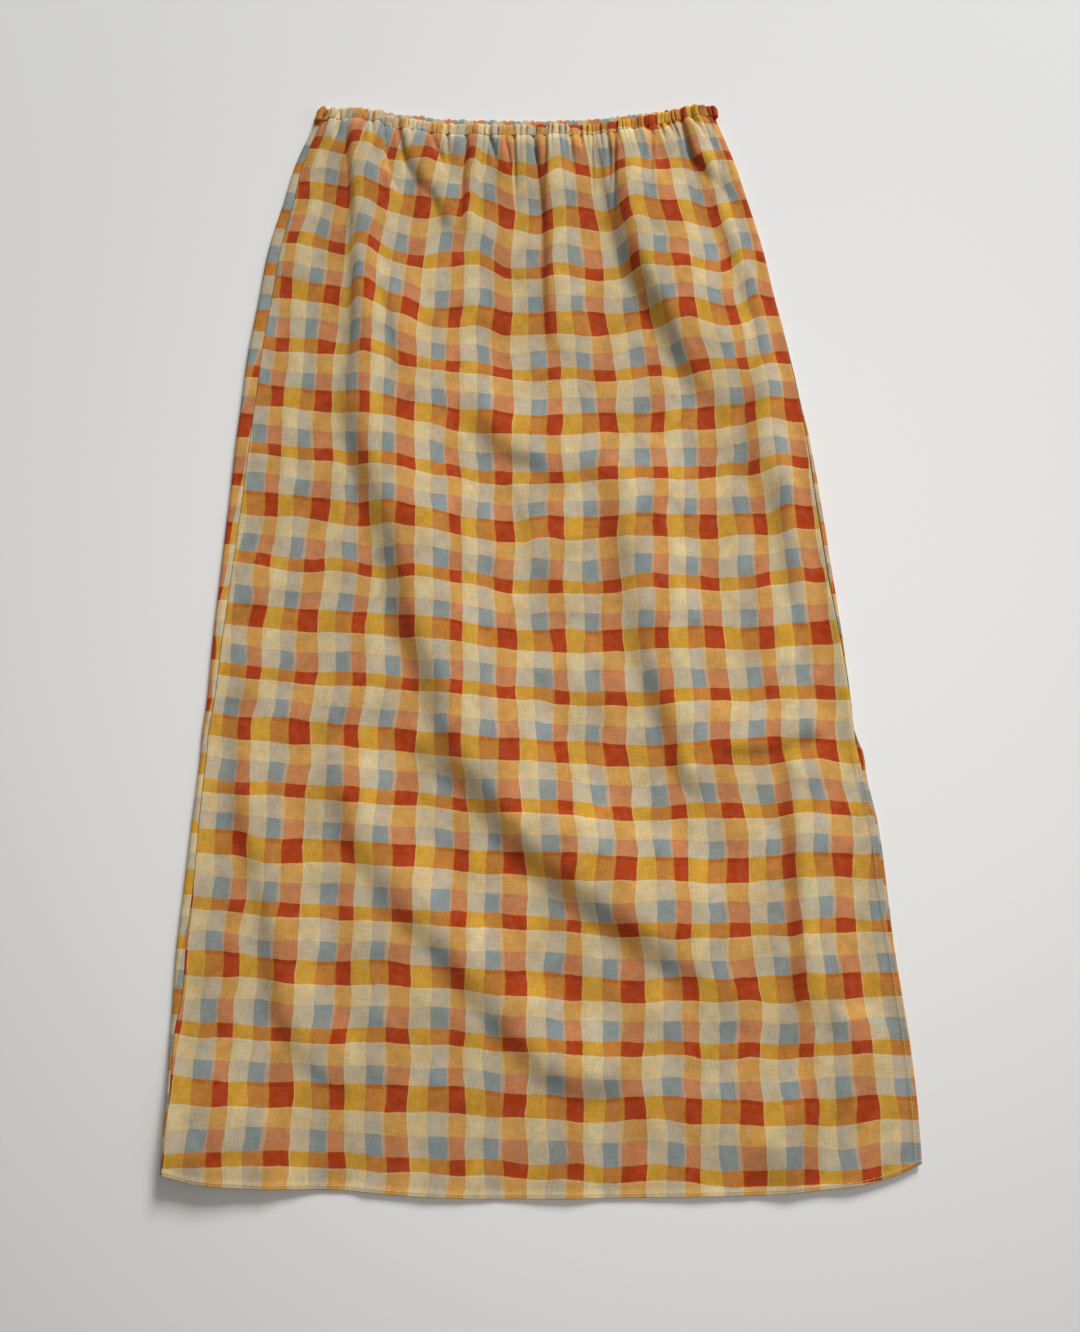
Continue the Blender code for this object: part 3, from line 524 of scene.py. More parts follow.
def fold_path(row):
    """Dense points of a fold's path with the share and the length of the way along it."""
    path = np.array(row["path"])
    steps = np.hypot(*np.diff(path, axis=0).T)
    knots = np.concatenate(([0.0], np.cumsum(steps))) / steps.sum()
    along = np.linspace(0.0, 1.0, FOLD_PATH_POINTS)
    return smooth_curve(knots, path[:, 0], along), smooth_curve(knots, path[:, 1], along), along, steps.sum()


def fold_ends(row, along):
    """Share of a fold's height at a share of the way along its path."""
    begin = row["start"] + (1.0 - row["start"]) * smooth_step(along / row["rise"])
    return begin * smooth_step((1.0 - along) / row["fall"])


def steep_width(row, along):
    """Width of the steep flank at a share of the way along the fold's path."""
    return row["steep"] + (row["steep_end"] - row["steep"]) * np.clip(along, 0.0, 1.0)


def fold_profile(fold, x, y):
    """Shape of a fold from 0 to 1 at the places x, y."""
    row = dict(zip(FOLD_COLUMNS, fold))
    path_x, path_y, along, total = fold_path(row)
    step_x, step_y = np.gradient(path_x), np.gradient(path_y)
    size = np.hypot(step_x, step_y)
    step_x, step_y = step_x / size, step_y / size
    reach = row["steep"] + row["steep_end"] + row["gentle"]
    near = (x > path_x.min() - reach) & (x < path_x.max() + reach)
    near &= (y > path_y.min() - reach) & (y < path_y.max() + reach)
    away_x = x[near][:, None] - path_x
    away_y = y[near][:, None] - path_y
    nearest = np.argmin(away_x**2 + away_y**2, axis=1)
    pick = np.arange(len(nearest))
    away_x, away_y = away_x[pick, nearest], away_y[pick, nearest]
    step_x, step_y = step_x[nearest], step_y[nearest]
    distance = (step_x * away_y - step_y * away_x) * row["side"]
    place = along[nearest] + (step_x * away_x + step_y * away_y) / total
    width = steep_width(row, place)
    steep = smooth_step(distance / (FLANK_SHARE * width) + 0.5)
    gentle = 1.0 - smooth_step((distance - 0.5 * width) / row["gentle"])
    shape = np.zeros(x.shape)
    shape[near] = steep * gentle * fold_ends(row, place)
    return shape


def cloth_beyond(fold, x, y):
    """Share of the cloth taken up by a fold that lies to the left of the places x, y."""
    row = dict(zip(FOLD_COLUMNS, fold))
    path_x, path_y, along, total = fold_path(row)
    upright = np.abs(np.gradient(path_y)) / np.hypot(np.gradient(path_x), np.gradient(path_y))
    order = np.argsort(path_y)
    fold_x = np.interp(y, path_y[order], path_x[order])
    place = np.interp(y, path_y[order], along[order])
    place += (np.maximum(path_y.min() - y, 0.0) - np.maximum(y - path_y.max(), 0.0)) / total
    distance = row["side"] * (x - fold_x) * np.interp(y, path_y[order], upright[order])
    return smooth_step(distance / steep_width(row, place) + 0.5) * fold_ends(row, place)


def corner_lift(x, y):
    """Height that a hem corner stands off the surface."""
    total = np.zeros_like(x)
    for lift in LIFTS:
        row = dict(zip(LIFT_COLUMNS, lift))
        away = np.hypot(x - row["x"], y - row["y"]) / row["reach"]
        total += row["height"] * (1.0 - smooth_step(away)) ** 1.5
    return total


def value_noise(x, y, seed):
    """Smooth seeded noise from -1 to 1 with one bump for each unit of x and y."""
    size = 64
    lattice = np.random.default_rng(seed).uniform(-1.0, 1.0, (size, size))
    cell_x, cell_y = np.floor(x).astype(int), np.floor(y).astype(int)
    share_x, share_y = smooth_step(x - cell_x), smooth_step(y - cell_y)
    corners = [[lattice[(cell_y + up) % size, (cell_x + over) % size] for over in (0, 1)] for up in (0, 1)]
    low = corners[0][0] * (1.0 - share_x) + corners[0][1] * share_x
    high = corners[1][0] * (1.0 - share_x) + corners[1][1] * share_x
    return low * (1.0 - share_y) + high * share_y


def soft_crumple(x, y):
    """Small uneven rise and fall of cloth that has been worn and smoothed by hand."""
    total = 0.0
    for crumple in CRUMPLES:
        row = dict(zip(CRUMPLE_COLUMNS, crumple))
        over = x / row["width"] + row["start"] + y / row["slant"]
        up = y / row["length"] + row["start"]
        total = total + value_noise(over, up, row["seed"]) * row["height"]
    return total


def front_height(x, y, left, right, level):
    """Height of the front's middle surface above the surface that the skirt lies on."""
    resting = 1.5 * SOLID_CLOTH + SEAM_GAP
    tied = 1.5 * SOLID_CASING - 1.5 * SOLID_CLOTH
    waist = smooth_step(1.0 - (CASING_LEVEL - level) / TIE_LENGTH)
    closed = closed_at(y)
    loft = SIDE_LOFT * (1.0 - WAIST_FLATNESS * waist)
    left_loft = loft * (1.0 - smooth_step((x - left) / SIDE_LOFT_WIDTH))
    right_loft = loft * closed * (1.0 - smooth_step((right - x) / SIDE_LOFT_WIDTH))
    slit_loft = SLIT_LOFT * (1.0 - closed) * (1.0 - smooth_step((right - x) / SLIT_LOFT_WIDTH))
    folds = sum(fold[1] * fold_profile(fold, x, y) for fold in FOLDS)
    under_casing = np.maximum(CASING_LEVEL - level, 0.0)
    folds = folds * (1.0 - FOLD_FADE * np.exp(-under_casing / FOLD_FADE_RUN))
    room = smooth_step((x - left) / FOLD_CLEARANCE) * smooth_step((right - x) / FOLD_CLEARANCE)
    crumple = soft_crumple(x, y) * (1.0 - waist)
    parted = CORNER_PARTING * corner_lift(x, y)
    return resting + tied * waist + left_loft + right_loft + slit_loft + parted + (folds + crumple) * room


def skirt_paths(levels, back_shift=None, back_middle=0.5 * SOLID_CLOTH):
    """Middle surface of the cloth round the skirt at each level, as points and lengths.

    A path starts at the outermost point of the left fold, crosses the front, turns at the right,
    comes back under the front and goes on over the left fold again. The marks give the lengths at
    the right end, at the start of the back, at the left fold and at the seams.
    """
    levels = np.asarray(levels, dtype=float)
    shifts = np.zeros(len(levels)) if back_shift is None else back_shift
    ends = np.stack([height_on_skirt(level, np.array([0.0, 1.0])) for level in levels])
    left, right = edge("left", ends[:, 0]), edge("right", ends[:, 1])
    back_right, closed = edge("back_right", ends[:, 1]), closed_at(ends[:, 1])
    left_middle = left + 0.5 * SOLID_CLOTH + FOLD_RADIUS
    right_middle = right - 0.5 * SOLID_CLOTH - FOLD_RADIUS
    share = np.linspace(0.0, 1.0, FRONT_POINTS)
    run = left_middle[:, None] + (right_middle - left_middle)[:, None] * share
    across = (run - left[:, None]) / (right - left)[:, None]
    run_y = height_on_skirt(levels[:, None], across)
    tops = front_height(run, run_y, left[:, None], right[:, None], levels[:, None])
    turn = np.linspace(0.0, 0.5 * np.pi, TURN_POINTS)
    paths = []
    for row, level in enumerate(levels):
        width = right[row] - left[row]
        top, x, y = tops[row], run[row], run_y[row]

        def y_at(place, waist="waist"):
            """Y of this level at a place across the skirt."""
            return height_on_skirt(level, np.clip((place - left[row]) / width, 0.0, 1.0), waist)

        back_start_x = back_right[row] - 0.5 * SOLID_CLOTH - FOLD_RADIUS
        back_run = np.linspace(back_start_x, left_middle[row], BACK_POINTS)
        inner_run = back_run[1:-1]
        left_half = 0.5 * (top[0] - back_middle)
        right_half = 0.5 * (top[-1] - back_middle) * closed[row]
        reach = FOLD_RADIUS + 0.5 * SOLID_CLOTH * (1.0 - closed[row])
        left_x = left_middle[row] - FOLD_RADIUS * np.cos(turn)
        over_x = right_middle[row] + reach * np.sin(turn)
        under_x = back_start_x + reach * np.cos(turn)
        open_shift = shifts[row] * (1.0 - closed[row])
        parts = (
            (left_x, y_at(left_x), back_middle + left_half * (1.0 + np.sin(turn))),
            (x[1:-1], y[1:-1], top[1:-1]),
            (over_x, y_at(over_x), top[-1] - right_half * (1.0 - np.cos(turn))),
            (under_x, y_at(under_x) + open_shift, back_middle + right_half * (1.0 - np.sin(turn))),
            (inner_run, y_at(inner_run, "back_waist") + shifts[row], np.full(BACK_POINTS - 2, back_middle)),
            (left_x[::-1], y_at(left_x[::-1]), back_middle + left_half * (1.0 - np.sin(turn[::-1]))),
            (left_x[1:], y_at(left_x[1:]), back_middle + left_half * (1.0 + np.sin(turn[1:]))),
            (x[1:OVERLAP_POINTS], y[1:OVERLAP_POINTS], top[1:OVERLAP_POINTS]),
        )
        counts = np.cumsum([len(part[0]) for part in parts])
        points = np.stack([np.concatenate([part[axis] for part in parts]) for axis in range(3)], axis=1)
        points[:, 2] += corner_lift(points[:, 0], points[:, 1])
        steps = np.hypot(np.diff(points[:, 0]), np.diff(points[:, 2]))
        length = np.concatenate(([0.0], np.cumsum(steps)))
        seam_x = left[row] + edge("left_seam", ends[row, 0])
        paths.append({
            "points": points,
            "length": length,
            "turn_point": counts[2],
            "left": left[row],
            "right": right[row],
            "closed": closed[row],
            "right_end": length[counts[2] - 1],
            "back_start": length[counts[2]],
            "left_fold": length[counts[5] - 1],
            "left_seam": float(np.interp(seam_x, points[: counts[1], 0], length[: counts[1]])),
            "right_seam": float(edge("right_seam", ends[row, 1])),
        })
    return paths


def read_path(path, at):
    """Points and directions of a path at the given lengths along it."""
    points, length = path["points"], path["length"]
    halves = (slice(None, path["turn_point"]), slice(path["turn_point"], None))
    direction = np.concatenate([np.gradient(points[half], length[half], axis=0) for half in halves])
    place = np.stack([np.interp(at, length, points[:, axis]) for axis in range(3)], axis=1)
    heading = np.stack([np.interp(at, length, direction[:, axis]) for axis in range(3)], axis=1)
    return place, heading


def read_paths(paths, lengths):
    """Points and directions of several paths, with a row of lengths for each, as two grids."""
    pairs = [read_path(path, at) for path, at in zip(paths, lengths)]
    return np.array([pair[0] for pair in pairs]), np.array([pair[1] for pair in pairs])


def column_of(paths, mark):
    """One mark of every path, as a column."""
    return np.array([path[mark] for path in paths])[:, None]


def outward_normals(places, headings):
    """Normals of a grid of points, on the outside of the skirt."""
    normals = np.cross(headings, np.gradient(places, axis=0))
    return normals / np.linalg.norm(normals, axis=2, keepdims=True)


def uneven_shares(count, seed):
    """Edges of the gathers as shares of the width, unevenly spaced."""
    widths = np.random.default_rng(seed).uniform(*GATHER_WIDTHS, count)
    return np.concatenate(([0.0], np.cumsum(widths))) / widths.sum()


def gather_wave(shares, count, seed, sharpness):
    """Height of a row of gathers, 0 in the valleys and about 1 on the crests."""
    edges = uneven_shares(count, seed)
    sizes = np.random.default_rng(seed + 1).uniform(*GATHER_HEIGHTS, count)
    cell = np.clip(np.searchsorted(edges, shares, side="right") - 1, 0, count - 1)
    inside = (shares - edges[cell]) / (edges[cell + 1] - edges[cell])
    return sizes[cell] * np.sin(np.pi * np.clip(inside, 0.0, 1.0)) ** sharpness


def puckers_at(shares, seed):
    """Height of the narrow puckers along the waist, in shares of the gather height."""
    puckers = PUCKER_HEIGHT * gather_wave(shares, GATHERS, seed, PUCKER_SHARPNESS)
    return puckers + WRINKLE_HEIGHT * gather_wave(shares, GATHERS * 2, seed + 7, WRINKLE_SHARPNESS)


def gather_pull(x, y):
    """How far the gathers pull the check down at the places x, y."""
    high, middle, low = (read_table(PULLS, PULL_COLUMNS, name, x) for name in PULL_COLUMNS[1:])
    at_middle = smooth_step((PULL_LEVELS[0] - y) / (PULL_LEVELS[0] - PULL_LEVELS[1]))
    at_low = smooth_step((PULL_LEVELS[1] - y) / (PULL_LEVELS[1] - PULL_LEVELS[2]))
    gone = smooth_step((PULL_LEVELS[2] - y) / (PULL_LEVELS[2] - PULL_LEVELS[3]))
    upper = high + (middle - high) * at_middle
    return (upper + (low - upper) * at_low) * (1.0 - gone)


def waist_creases(x, below):
    """Depth of the creases that run down from the casing."""
    depth = np.zeros(np.broadcast(x, below).shape)
    for crease in CREASES:
        row = dict(zip(CREASE_COLUMNS, crease))
        way = (below - row["start"]) / row["length"]
        along = smooth_step(1.0 - way) * smooth_step(1.0 + way * row["length"] / CREASE_START_RUN)
        width = row["width"] * (CREASE_WIDTH_START + CREASE_WIDTH_GAIN * np.clip(way, 0.0, 1.0))
        away = (x - row["x"] - row["lean"] * below) / width
        depth = np.maximum(depth, row["depth"] * along * np.exp(-np.abs(away) ** CREASE_SHARPNESS))
    return depth


def cloth_place(x, y, left, right):
    """Place in the check, in squares, of a point that shows on the front."""
    across = np.clip((x - left) / (right - left), 0.0, 1.0)
    stripe = read_grid(STRIPE_AT, y, across)
    slip = read_grid(SLIP_AT, y, across) - gather_pull(x, y)
    for fold in FOLDS:
        row = dict(zip(FOLD_COLUMNS, fold))
        slip += row["draw"] * fold_profile(fold, x, y)
        stripe += row["take"] / STRIPE_SQUARE * cloth_beyond(fold, x, y)
    return np.stack((stripe, (y - slip - FIRST_ROW) / SQUARE), axis=-1)


def cloth_wall(name, outer, inner, places, keys):
    """Closed wall of cloth between two sets of rows, with its place in the check as a UV map.

    Every vertex of a row has a key, and rows that differ in number of columns share the coarser
    row's keys, so that one face fills each coarse column between them.
    """
    counts = [len(row) for row in outer]
    starts = np.concatenate(([0], np.cumsum(counts)))
    total = starts[-1]
    faces, rims = [], []
    for row in range(len(outer) - 1):
        low, high = starts[row], starts[row + 1]
        if counts[row] == counts[row + 1]:
            for column in range(counts[row] - 1):
                faces.append((low + column, low + column + 1, high + column + 1, high + column))
        else:
            coarse = min(keys[row], keys[row + 1], key=len)
            for begin, end in zip(coarse, coarse[1:]):
                lower = [low + n for n, key in enumerate(keys[row]) if begin <= key <= end]
                upper = [high + n for n, key in enumerate(keys[row + 1]) if begin <= key <= end]
                faces.append(tuple(lower + upper[::-1]))
    faces += [tuple(vertex + total for vertex in face[::-1]) for face in faces]
    for row, turned in ((0, True), (len(outer) - 1, False)):
        for column in range(counts[row] - 1):
            here = starts[row] + column
            ring = (here, here + 1, here + 1 + total, here + total)
            rims.append(ring[::-1] if turned else ring)
    for last in (False, True):
        for row in range(len(outer) - 1):
            here = starts[row] + (counts[row] - 1 if last else 0)
            above = starts[row + 1] + (counts[row + 1] - 1 if last else 0)
            ring = (here, above, above + total, here + total)
            rims.append(ring[::-1] if last else ring)
    mesh = bpy.data.meshes.new(name)
    points = np.concatenate((np.concatenate(outer), np.concatenate(inner)))
    mesh.from_pydata(points, [], faces + rims)
    layer = mesh.uv_layers.new(name="Check")
    corners = np.empty(len(mesh.loops), dtype=np.int32)
    mesh.loops.foreach_get("vertex_index", corners)
    spots = np.concatenate(places)
    layer.data.foreach_set("uv", np.concatenate((spots, spots))[corners].ravel())
    smooth = np.concatenate((np.ones(len(faces), dtype=bool), np.zeros(len(rims), dtype=bool)))
    mesh.polygons.foreach_set("use_smooth", smooth)
    mesh.update()
    piece = bpy.data.objects.new(name, mesh)
    bpy.context.collection.objects.link(piece)
    return piece


def body_levels(settings):
    """Levels of the panels' rows up to the gathers, and of the finer rows among them."""
    rises = [*HEM_ROWS, *(settings.hem_depth + past for past in PAST_HEM_ROWS)]
    low = [HEM_LEVEL + rise for rise in rises]
    top = CASING_LEVEL - SEAM_GAP
    fine_start = top - settings.gather_band
    rows = int(round((fine_start - low[-1]) / settings.row_height))
    body = low + list(np.linspace(low[-1], fine_start, rows + 1)[1:])
    fine_rows = int(round(settings.gather_band / settings.gather_row_height))
    fine = fine_start + (top - fine_start) * np.linspace(0.0, 1.0, fine_rows + 1)[1:]
    return np.array(body), np.append(fine, top + UNDER_CASING)


def turned_extra(distance, depth, thickness):
    """Extra thickness of a turned edge at a distance from it."""
    return thickness * (1.0 - smooth_step((distance - depth) / TURN_RUN))


def groove(distance):
    """Share of the wall's outer half that is left beside a sewn seam."""
    return GROOVE_LEAST + GROOVE_REST * smooth_step(distance / GROOVE_RUN)


def panel_gathers(shares, below, seed, height):
    """How far the panel stands out in gathers at a distance under the casing."""
    fine = puckers_at(shares, seed)
    wide = gather_wave(shares, GATHERS // 3, seed + 40, GATHER_WIDE_SHARPNESS)
    wide_share = GATHER_WIDE_SHARE * np.exp(-below / GATHER_WIDE_RUN)
    wide_share = wide_share * (1.0 - np.exp(-below / GATHER_WIDE_START))
    return height * (np.exp(-below / GATHER_FINE_RUN) * fine + wide_share * wide)


def hem_ripple(along, seed):
    """Small waves of a narrow hem that was stitched under tension."""
    row = np.full(along.shape, float(seed))
    return RIPPLE_HEIGHT * value_noise(along / RIPPLE_LENGTH + RIPPLE_START, row, seed)


def front_cloth(settings):
    """Front panel: draped, gathered at the waist, with its hem and slit edge turned."""
    body, fine = body_levels(settings)
    columns, tight = settings.front_columns, settings.gather_split
    left_run = np.array(LEFT_SEAM_RUN)
    turned_run = (settings.slit_depth + TURN_STEP, settings.slit_depth)
    right_run = np.array((*FRONT_SIDE_RUN, *turned_run, *FRONT_SLIT_RUN))
    outer, inner, spots, keys = [], [], [], []
    for levels, split in ((body, 1), (fine, tight)):
        shares = np.linspace(0.0, 1.0, columns * split + 1)
        row_keys = list(range(-len(left_run) + 1, 0)) + list(range(0, columns * tight + 1, tight // split))
        row_keys += [columns * tight + 1 + n for n in range(len(right_run) - 1)]
        used = np.append(body[-1], levels) if split > 1 else levels
        paths = skirt_paths(used)
        closed = column_of(paths, "closed")
        start = column_of(paths, "left_seam") + 0.5 * SEAM_GAP
        end = column_of(paths, "right_end") - column_of(paths, "right_seam") - 0.5 * SEAM_GAP * closed
        main = start + left_run[-1] + (end - right_run[0] - start - left_run[-1]) * shares
        at = np.concatenate((start + left_run[:-1], main, end - right_run[1:]), axis=1)
        places, headings = read_paths(paths, at)
        right_away, left_away = end - at, at - start
        rise = used[:, None] - HEM_LEVEL
        below = CASING_LEVEL - used[:, None]
        drop = np.maximum(below, 0.0)
        cloth_share = left_away / (left_away + right_away)
        normals = outward_normals(places, headings)
        gathers = panel_gathers(cloth_share, drop, FRONT_SEED, settings.gather_height)
        swell = (1.0 - np.exp(-drop / GATHER_LOFT_START)) * np.exp(-(drop / GATHER_LOFT_RUN) ** 2)
        gathers = gathers + GATHER_LOFT * swell - waist_creases(places[..., 0], drop)
        gathers = np.maximum(gathers, GATHER_LOWEST) * np.where(below < 0.0, UNDER_CASING_SHARE, 1.0)
        gathers = gathers * smooth_step(left_away / GATHER_SIDE_RUN)
        gathers = gathers * smooth_step(right_away / GATHER_SIDE_RUN)
        ripple = hem_ripple(cloth_share * HEM_RIPPLE_LENGTH, HEM_RIPPLE_SEED) * np.exp(-rise / RIPPLE_RUN)
        along_slit = np.broadcast_to(used[:, None], at.shape)
        slit_ripple = hem_ripple(along_slit, SLIT_RIPPLE_SEED) * np.exp(-right_away / RIPPLE_RUN)
        slit_ripple = slit_ripple * (1.0 - closed)
        surface = places + normals * (gathers + ripple + slit_ripple)[..., None]
        normals = outward_normals(surface, headings)
        hem_extra = turned_extra(rise, settings.hem_depth, settings.turned)
        slit_extra = turned_extra(right_away, settings.slit_depth, settings.turned) * (1.0 - closed)
        extra = np.maximum(hem_extra, slit_extra)
        seam = groove(left_away) * (1.0 - closed + closed * groove(right_away))
        reach = (0.5 * SOLID_CLOTH + extra) * seam - np.where(below < 0.0, UNDER_CASING_TUCK, 0.0)
        wall = settings.thickness * np.maximum(seam, GROOVE_WALL)
        top = surface + normals * reach[..., None]
        under = surface + normals * (reach - wall - extra)[..., None]
        lefts, rights = column_of(paths, "left"), column_of(paths, "right")
        spot = cloth_place(places[..., 0], places[..., 1], lefts, rights)
        keep = slice(1, None) if split > 1 else slice(None)
        outer += list(top[keep])
        inner += list(under[keep])
        spots += list(spot[keep])
        keys += [row_keys] * len(levels)
    return cloth_wall("front_cloth", outer, inner, spots, keys)


def back_place(x, y, length, whole):
    """Place in the check, in squares, of a point of the back at a length from its right edge."""
    left = BACK_STRIPES + read_table(BACK_LEFT, BACK_LEFT_COLUMNS, "stripe", y)
    share = length / whole
    fullness = left - BACK_RIGHT - whole / STRIPE_SQUARE
    stripe = BACK_RIGHT + length / STRIPE_SQUARE + fullness * smooth_step(share)
    middle = smooth_step(np.minimum(share, 1.0 - share) / BACK_DRAW_SIDE)
    middle = middle * smooth_step((y - BACK_DRAW_START) / BACK_DRAW_REACH)
    ease = 1.0 - BACK_SINK_EASE * smooth_step(x / BACK_SINK_TOP)
    sink = BACK_SINK * smooth_step((BACK_SINK_TOP - y) / BACK_SINK_REACH) * ease
    step = BACK_STEP * smooth_step((y - BACK_STEP_START) / BACK_STEP_REACH)
    slip = BACK_SHIFT - sink - step + BACK_DRAW * middle
    return np.stack((stripe, (y - slip - FIRST_ROW) / SQUARE), axis=-1)


def back_cloth(settings):
    """Back panel: flat on the surface, up round the left fold to the seam."""
    body, fine = body_levels(settings)
    levels = np.concatenate((body[::2], fine[::3], fine[-1:]))
    levels = np.unique(np.append(levels, body[:len(HEM_ROWS) + len(PAST_HEM_ROWS)]))
    rise = levels[:, None] - HEM_LEVEL
    near_hem = 1.0 - smooth_step((levels - HEM_LEVEL) / HEM_RISE_REACH)
    paths = skirt_paths(levels, back_shift=BACK_HEM_RISE * near_hem)
    closed = column_of(paths, "closed")
    turned_run = (settings.slit_depth, settings.slit_depth + TURN_STEP)
    edge_run = np.array((*BACK_SLIT_RUN, *turned_run, *BACK_SIDE_RUN))
    shares = np.linspace(0.0, 1.0, settings.back_columns)
    turn = np.linspace(0.0, 1.0, BACK_WRAP_COLUMNS + 1)
    left_fold, back_start = column_of(paths, "left_fold"), column_of(paths, "back_start")
    start = back_start - column_of(paths, "right_seam") + 0.5 * SEAM_GAP * closed
    seam = left_fold + column_of(paths, "left_seam") - 0.5 * SEAM_GAP
    wrap_start = left_fold - BACK_WRAP
    middle = start + edge_run[-1] + (wrap_start - start - edge_run[-1]) * shares
    wrap = wrap_start + (seam - BACK_SEAM_RUN[0] - wrap_start) * turn[1:]
    seam_run = seam - np.array(BACK_SEAM_RUN[1:])
    at = np.concatenate((start + edge_run[:-1], middle, wrap, seam_run), axis=1)
    places, headings = read_paths(paths, at)
    away, seam_away = at - start, seam - at
    normals = outward_normals(places, headings)
    hem_extra = turned_extra(rise, settings.hem_depth, settings.turned)
    slit_extra = turned_extra(away, settings.slit_depth, settings.turned) * (1.0 - closed)
    reach = 0.5 * SOLID_CLOTH * groove(seam_away)
    depth = settings.thickness + np.maximum(hem_extra, slit_extra)
    outer = places + normals * reach[..., None]
    inner = places + normals * (reach - depth * np.maximum(groove(seam_away), GROOVE_WALL))[..., None]
    spot = back_place(places[..., 0], places[..., 1], away, left_fold - back_start)
    keys = [list(range(places.shape[1]))] * len(levels)
    return cloth_wall("back_cloth", list(outer), list(inner), list(spot), keys)


def casing_cloth(name, settings, seed, front):
    """Half of the waist casing, drawn up by the elastic inside it into narrow puckers."""
    rise = 0.5 - 0.5 * np.cos(np.linspace(0.0, np.pi, settings.casing_rows))
    top = WAIST_LEVEL - (CASING_SINK if front else 0.0)
    levels = top - (top - WAIST_LEVEL + CASING_HEIGHT) * (1.0 - rise)
    paths = skirt_paths(levels, back_middle=0.5 * SOLID_CASING)
    shares = np.linspace(0.0, 1.0, GATHERS * settings.pucker_columns + 1)
    shares = np.interp(shares, np.linspace(0.0, 1.0, GATHERS + 1), uneven_shares(GATHERS, seed))
    puckers = gather_wave(shares, GATHERS, seed, CASING_SHARPNESS)
    scallop = settings.scallop * CASING_SCALLOPS["front" if front else "back"]
    places, headings, lengths = [], [], []
    for path, share in zip(paths, rise):
        if front:
            start = path["left_seam"] + 0.5 * SEAM_GAP
            end = path["right_end"] - path["right_seam"] - 0.5 * SEAM_GAP
        else:
            start = path["back_start"] - path["right_seam"] + 0.5 * SEAM_GAP
            end = path["left_fold"] + path["left_seam"] - 0.5 * SEAM_GAP
        row = np.full(len(shares), share * CASING_SWAY_ROWS)
        sway = CASING_SWAY * value_noise(shares * CASING_SWAY_PLACES, row, seed + 2)
        place, heading = read_path(path, start + (end - start) * shares + sway * math.sin(math.pi * share))
        place[:, 1] += scallop * share**3 * (puckers - 0.5)
        places.append(place)
        headings.append(heading)
        lengths.append((end - start) * shares)
    places, headings = np.array(places), np.array(headings)
    normals = outward_normals(places, headings)
    crown = np.sqrt(np.maximum(1.0 - np.abs(2.0 * rise - 1.0) ** 3, 0.0))[:, None]
    flush = np.where(rise[:, None] < 0.5, 1.0, crown)
    pinch = 1.0 - CASING_PINCH * np.exp(-rise / CASING_PINCH_RUN)[:, None]
    half = 0.5 * SOLID_CASING
    wall = half * (CASING_OUTER[0] + CASING_OUTER[1] * flush)
    puff = CASING_PUFF[0] + CASING_PUFF[1] * flush
    folded = wall + settings.gather_height * puckers_at(shares, seed) * puff
    if front:
        creases = waist_creases(places[..., 0], np.zeros(folded.shape))
        folded = np.maximum(folded - CASING_CREASE_SHARE * creases, CASING_LEAST)
    outer = places + normals * (folded * pinch)[..., None]
    inner = places - normals * (half * (CASING_INNER[0] + CASING_INNER[1] * crown))[..., None]
    outer[..., 2] = np.maximum(outer[..., 2], 0.0)
    inner[..., 2] = np.maximum(inner[..., 2], 0.0)
    if front:
        lefts, rights = column_of(paths, "left"), column_of(paths, "right")
        spot = cloth_place(places[..., 0], places[..., 1], lefts, rights)
    else:
        whole = column_of(paths, "left_fold") - column_of(paths, "back_start")
        spot = back_place(places[..., 0], places[..., 1], np.array(lengths), whole)
    keys = [list(range(len(shares)))] * len(levels)
    return cloth_wall(name, list(outer), list(inner), list(spot), keys)


class Nodes:
    """Short way to build a node tree."""

    def __init__(self, tree):
        self.tree = tree

    def add(self, kind, inputs=(), **settings):
        """Add a node, set its properties and fill or link its inputs by name or number."""
        node = self.tree.nodes.new(kind)
        for name, value in settings.items():
            setattr(node, name, value)
        for name, value in dict(inputs).items():
            if isinstance(value, bpy.types.NodeSocket):
                self.tree.links.new(value, node.inputs[name])
            else:
                node.inputs[name].default_value = value
        return node

    def math(self, operation, *values):
        """Add a Math node and return its result."""
        node = self.add("ShaderNodeMath", dict(enumerate(values)), operation=operation)
        return node.outputs[0]

    def mix(self, share, first, second, blend="MIX"):
        """Mix two colours and return the result."""
        inputs = {"Factor": share}
        node = self.add("ShaderNodeMix", inputs, data_type="RGBA", blend_type=blend)
        for socket, value in ((node.inputs[6], first), (node.inputs[7], second)):
            if isinstance(value, bpy.types.NodeSocket):
                self.tree.links.new(value, socket)
            else:
                socket.default_value = value
        return node.outputs[2]

    def remap(self, value, low, high, to_low=0.0, to_high=1.0):
        """Map a range smoothly to another."""
        inputs = {"Value": value, "From Min": low, "From Max": high, "To Min": to_low, "To Max": to_high}
        return self.add("ShaderNodeMapRange", inputs, interpolation_type="SMOOTHSTEP").outputs[0]

    def noise(self, vector, scale, detail=2.0, roughness=0.5):
        """Noise around 0.5 at a scale."""
        inputs = {"Vector": vector, "Scale": scale, "Detail": detail, "Roughness": roughness}
        return self.add("ShaderNodeTexNoise", inputs).outputs["Fac"]


def colour(red, green, blue):
    """Linear colour of a screen colour."""
    parts = [part / 255.0 for part in (red, green, blue)]
    return tuple(part / 12.92 if part <= 0.04045 else ((part + 0.055) / 1.055) ** 2.4 for part in parts)


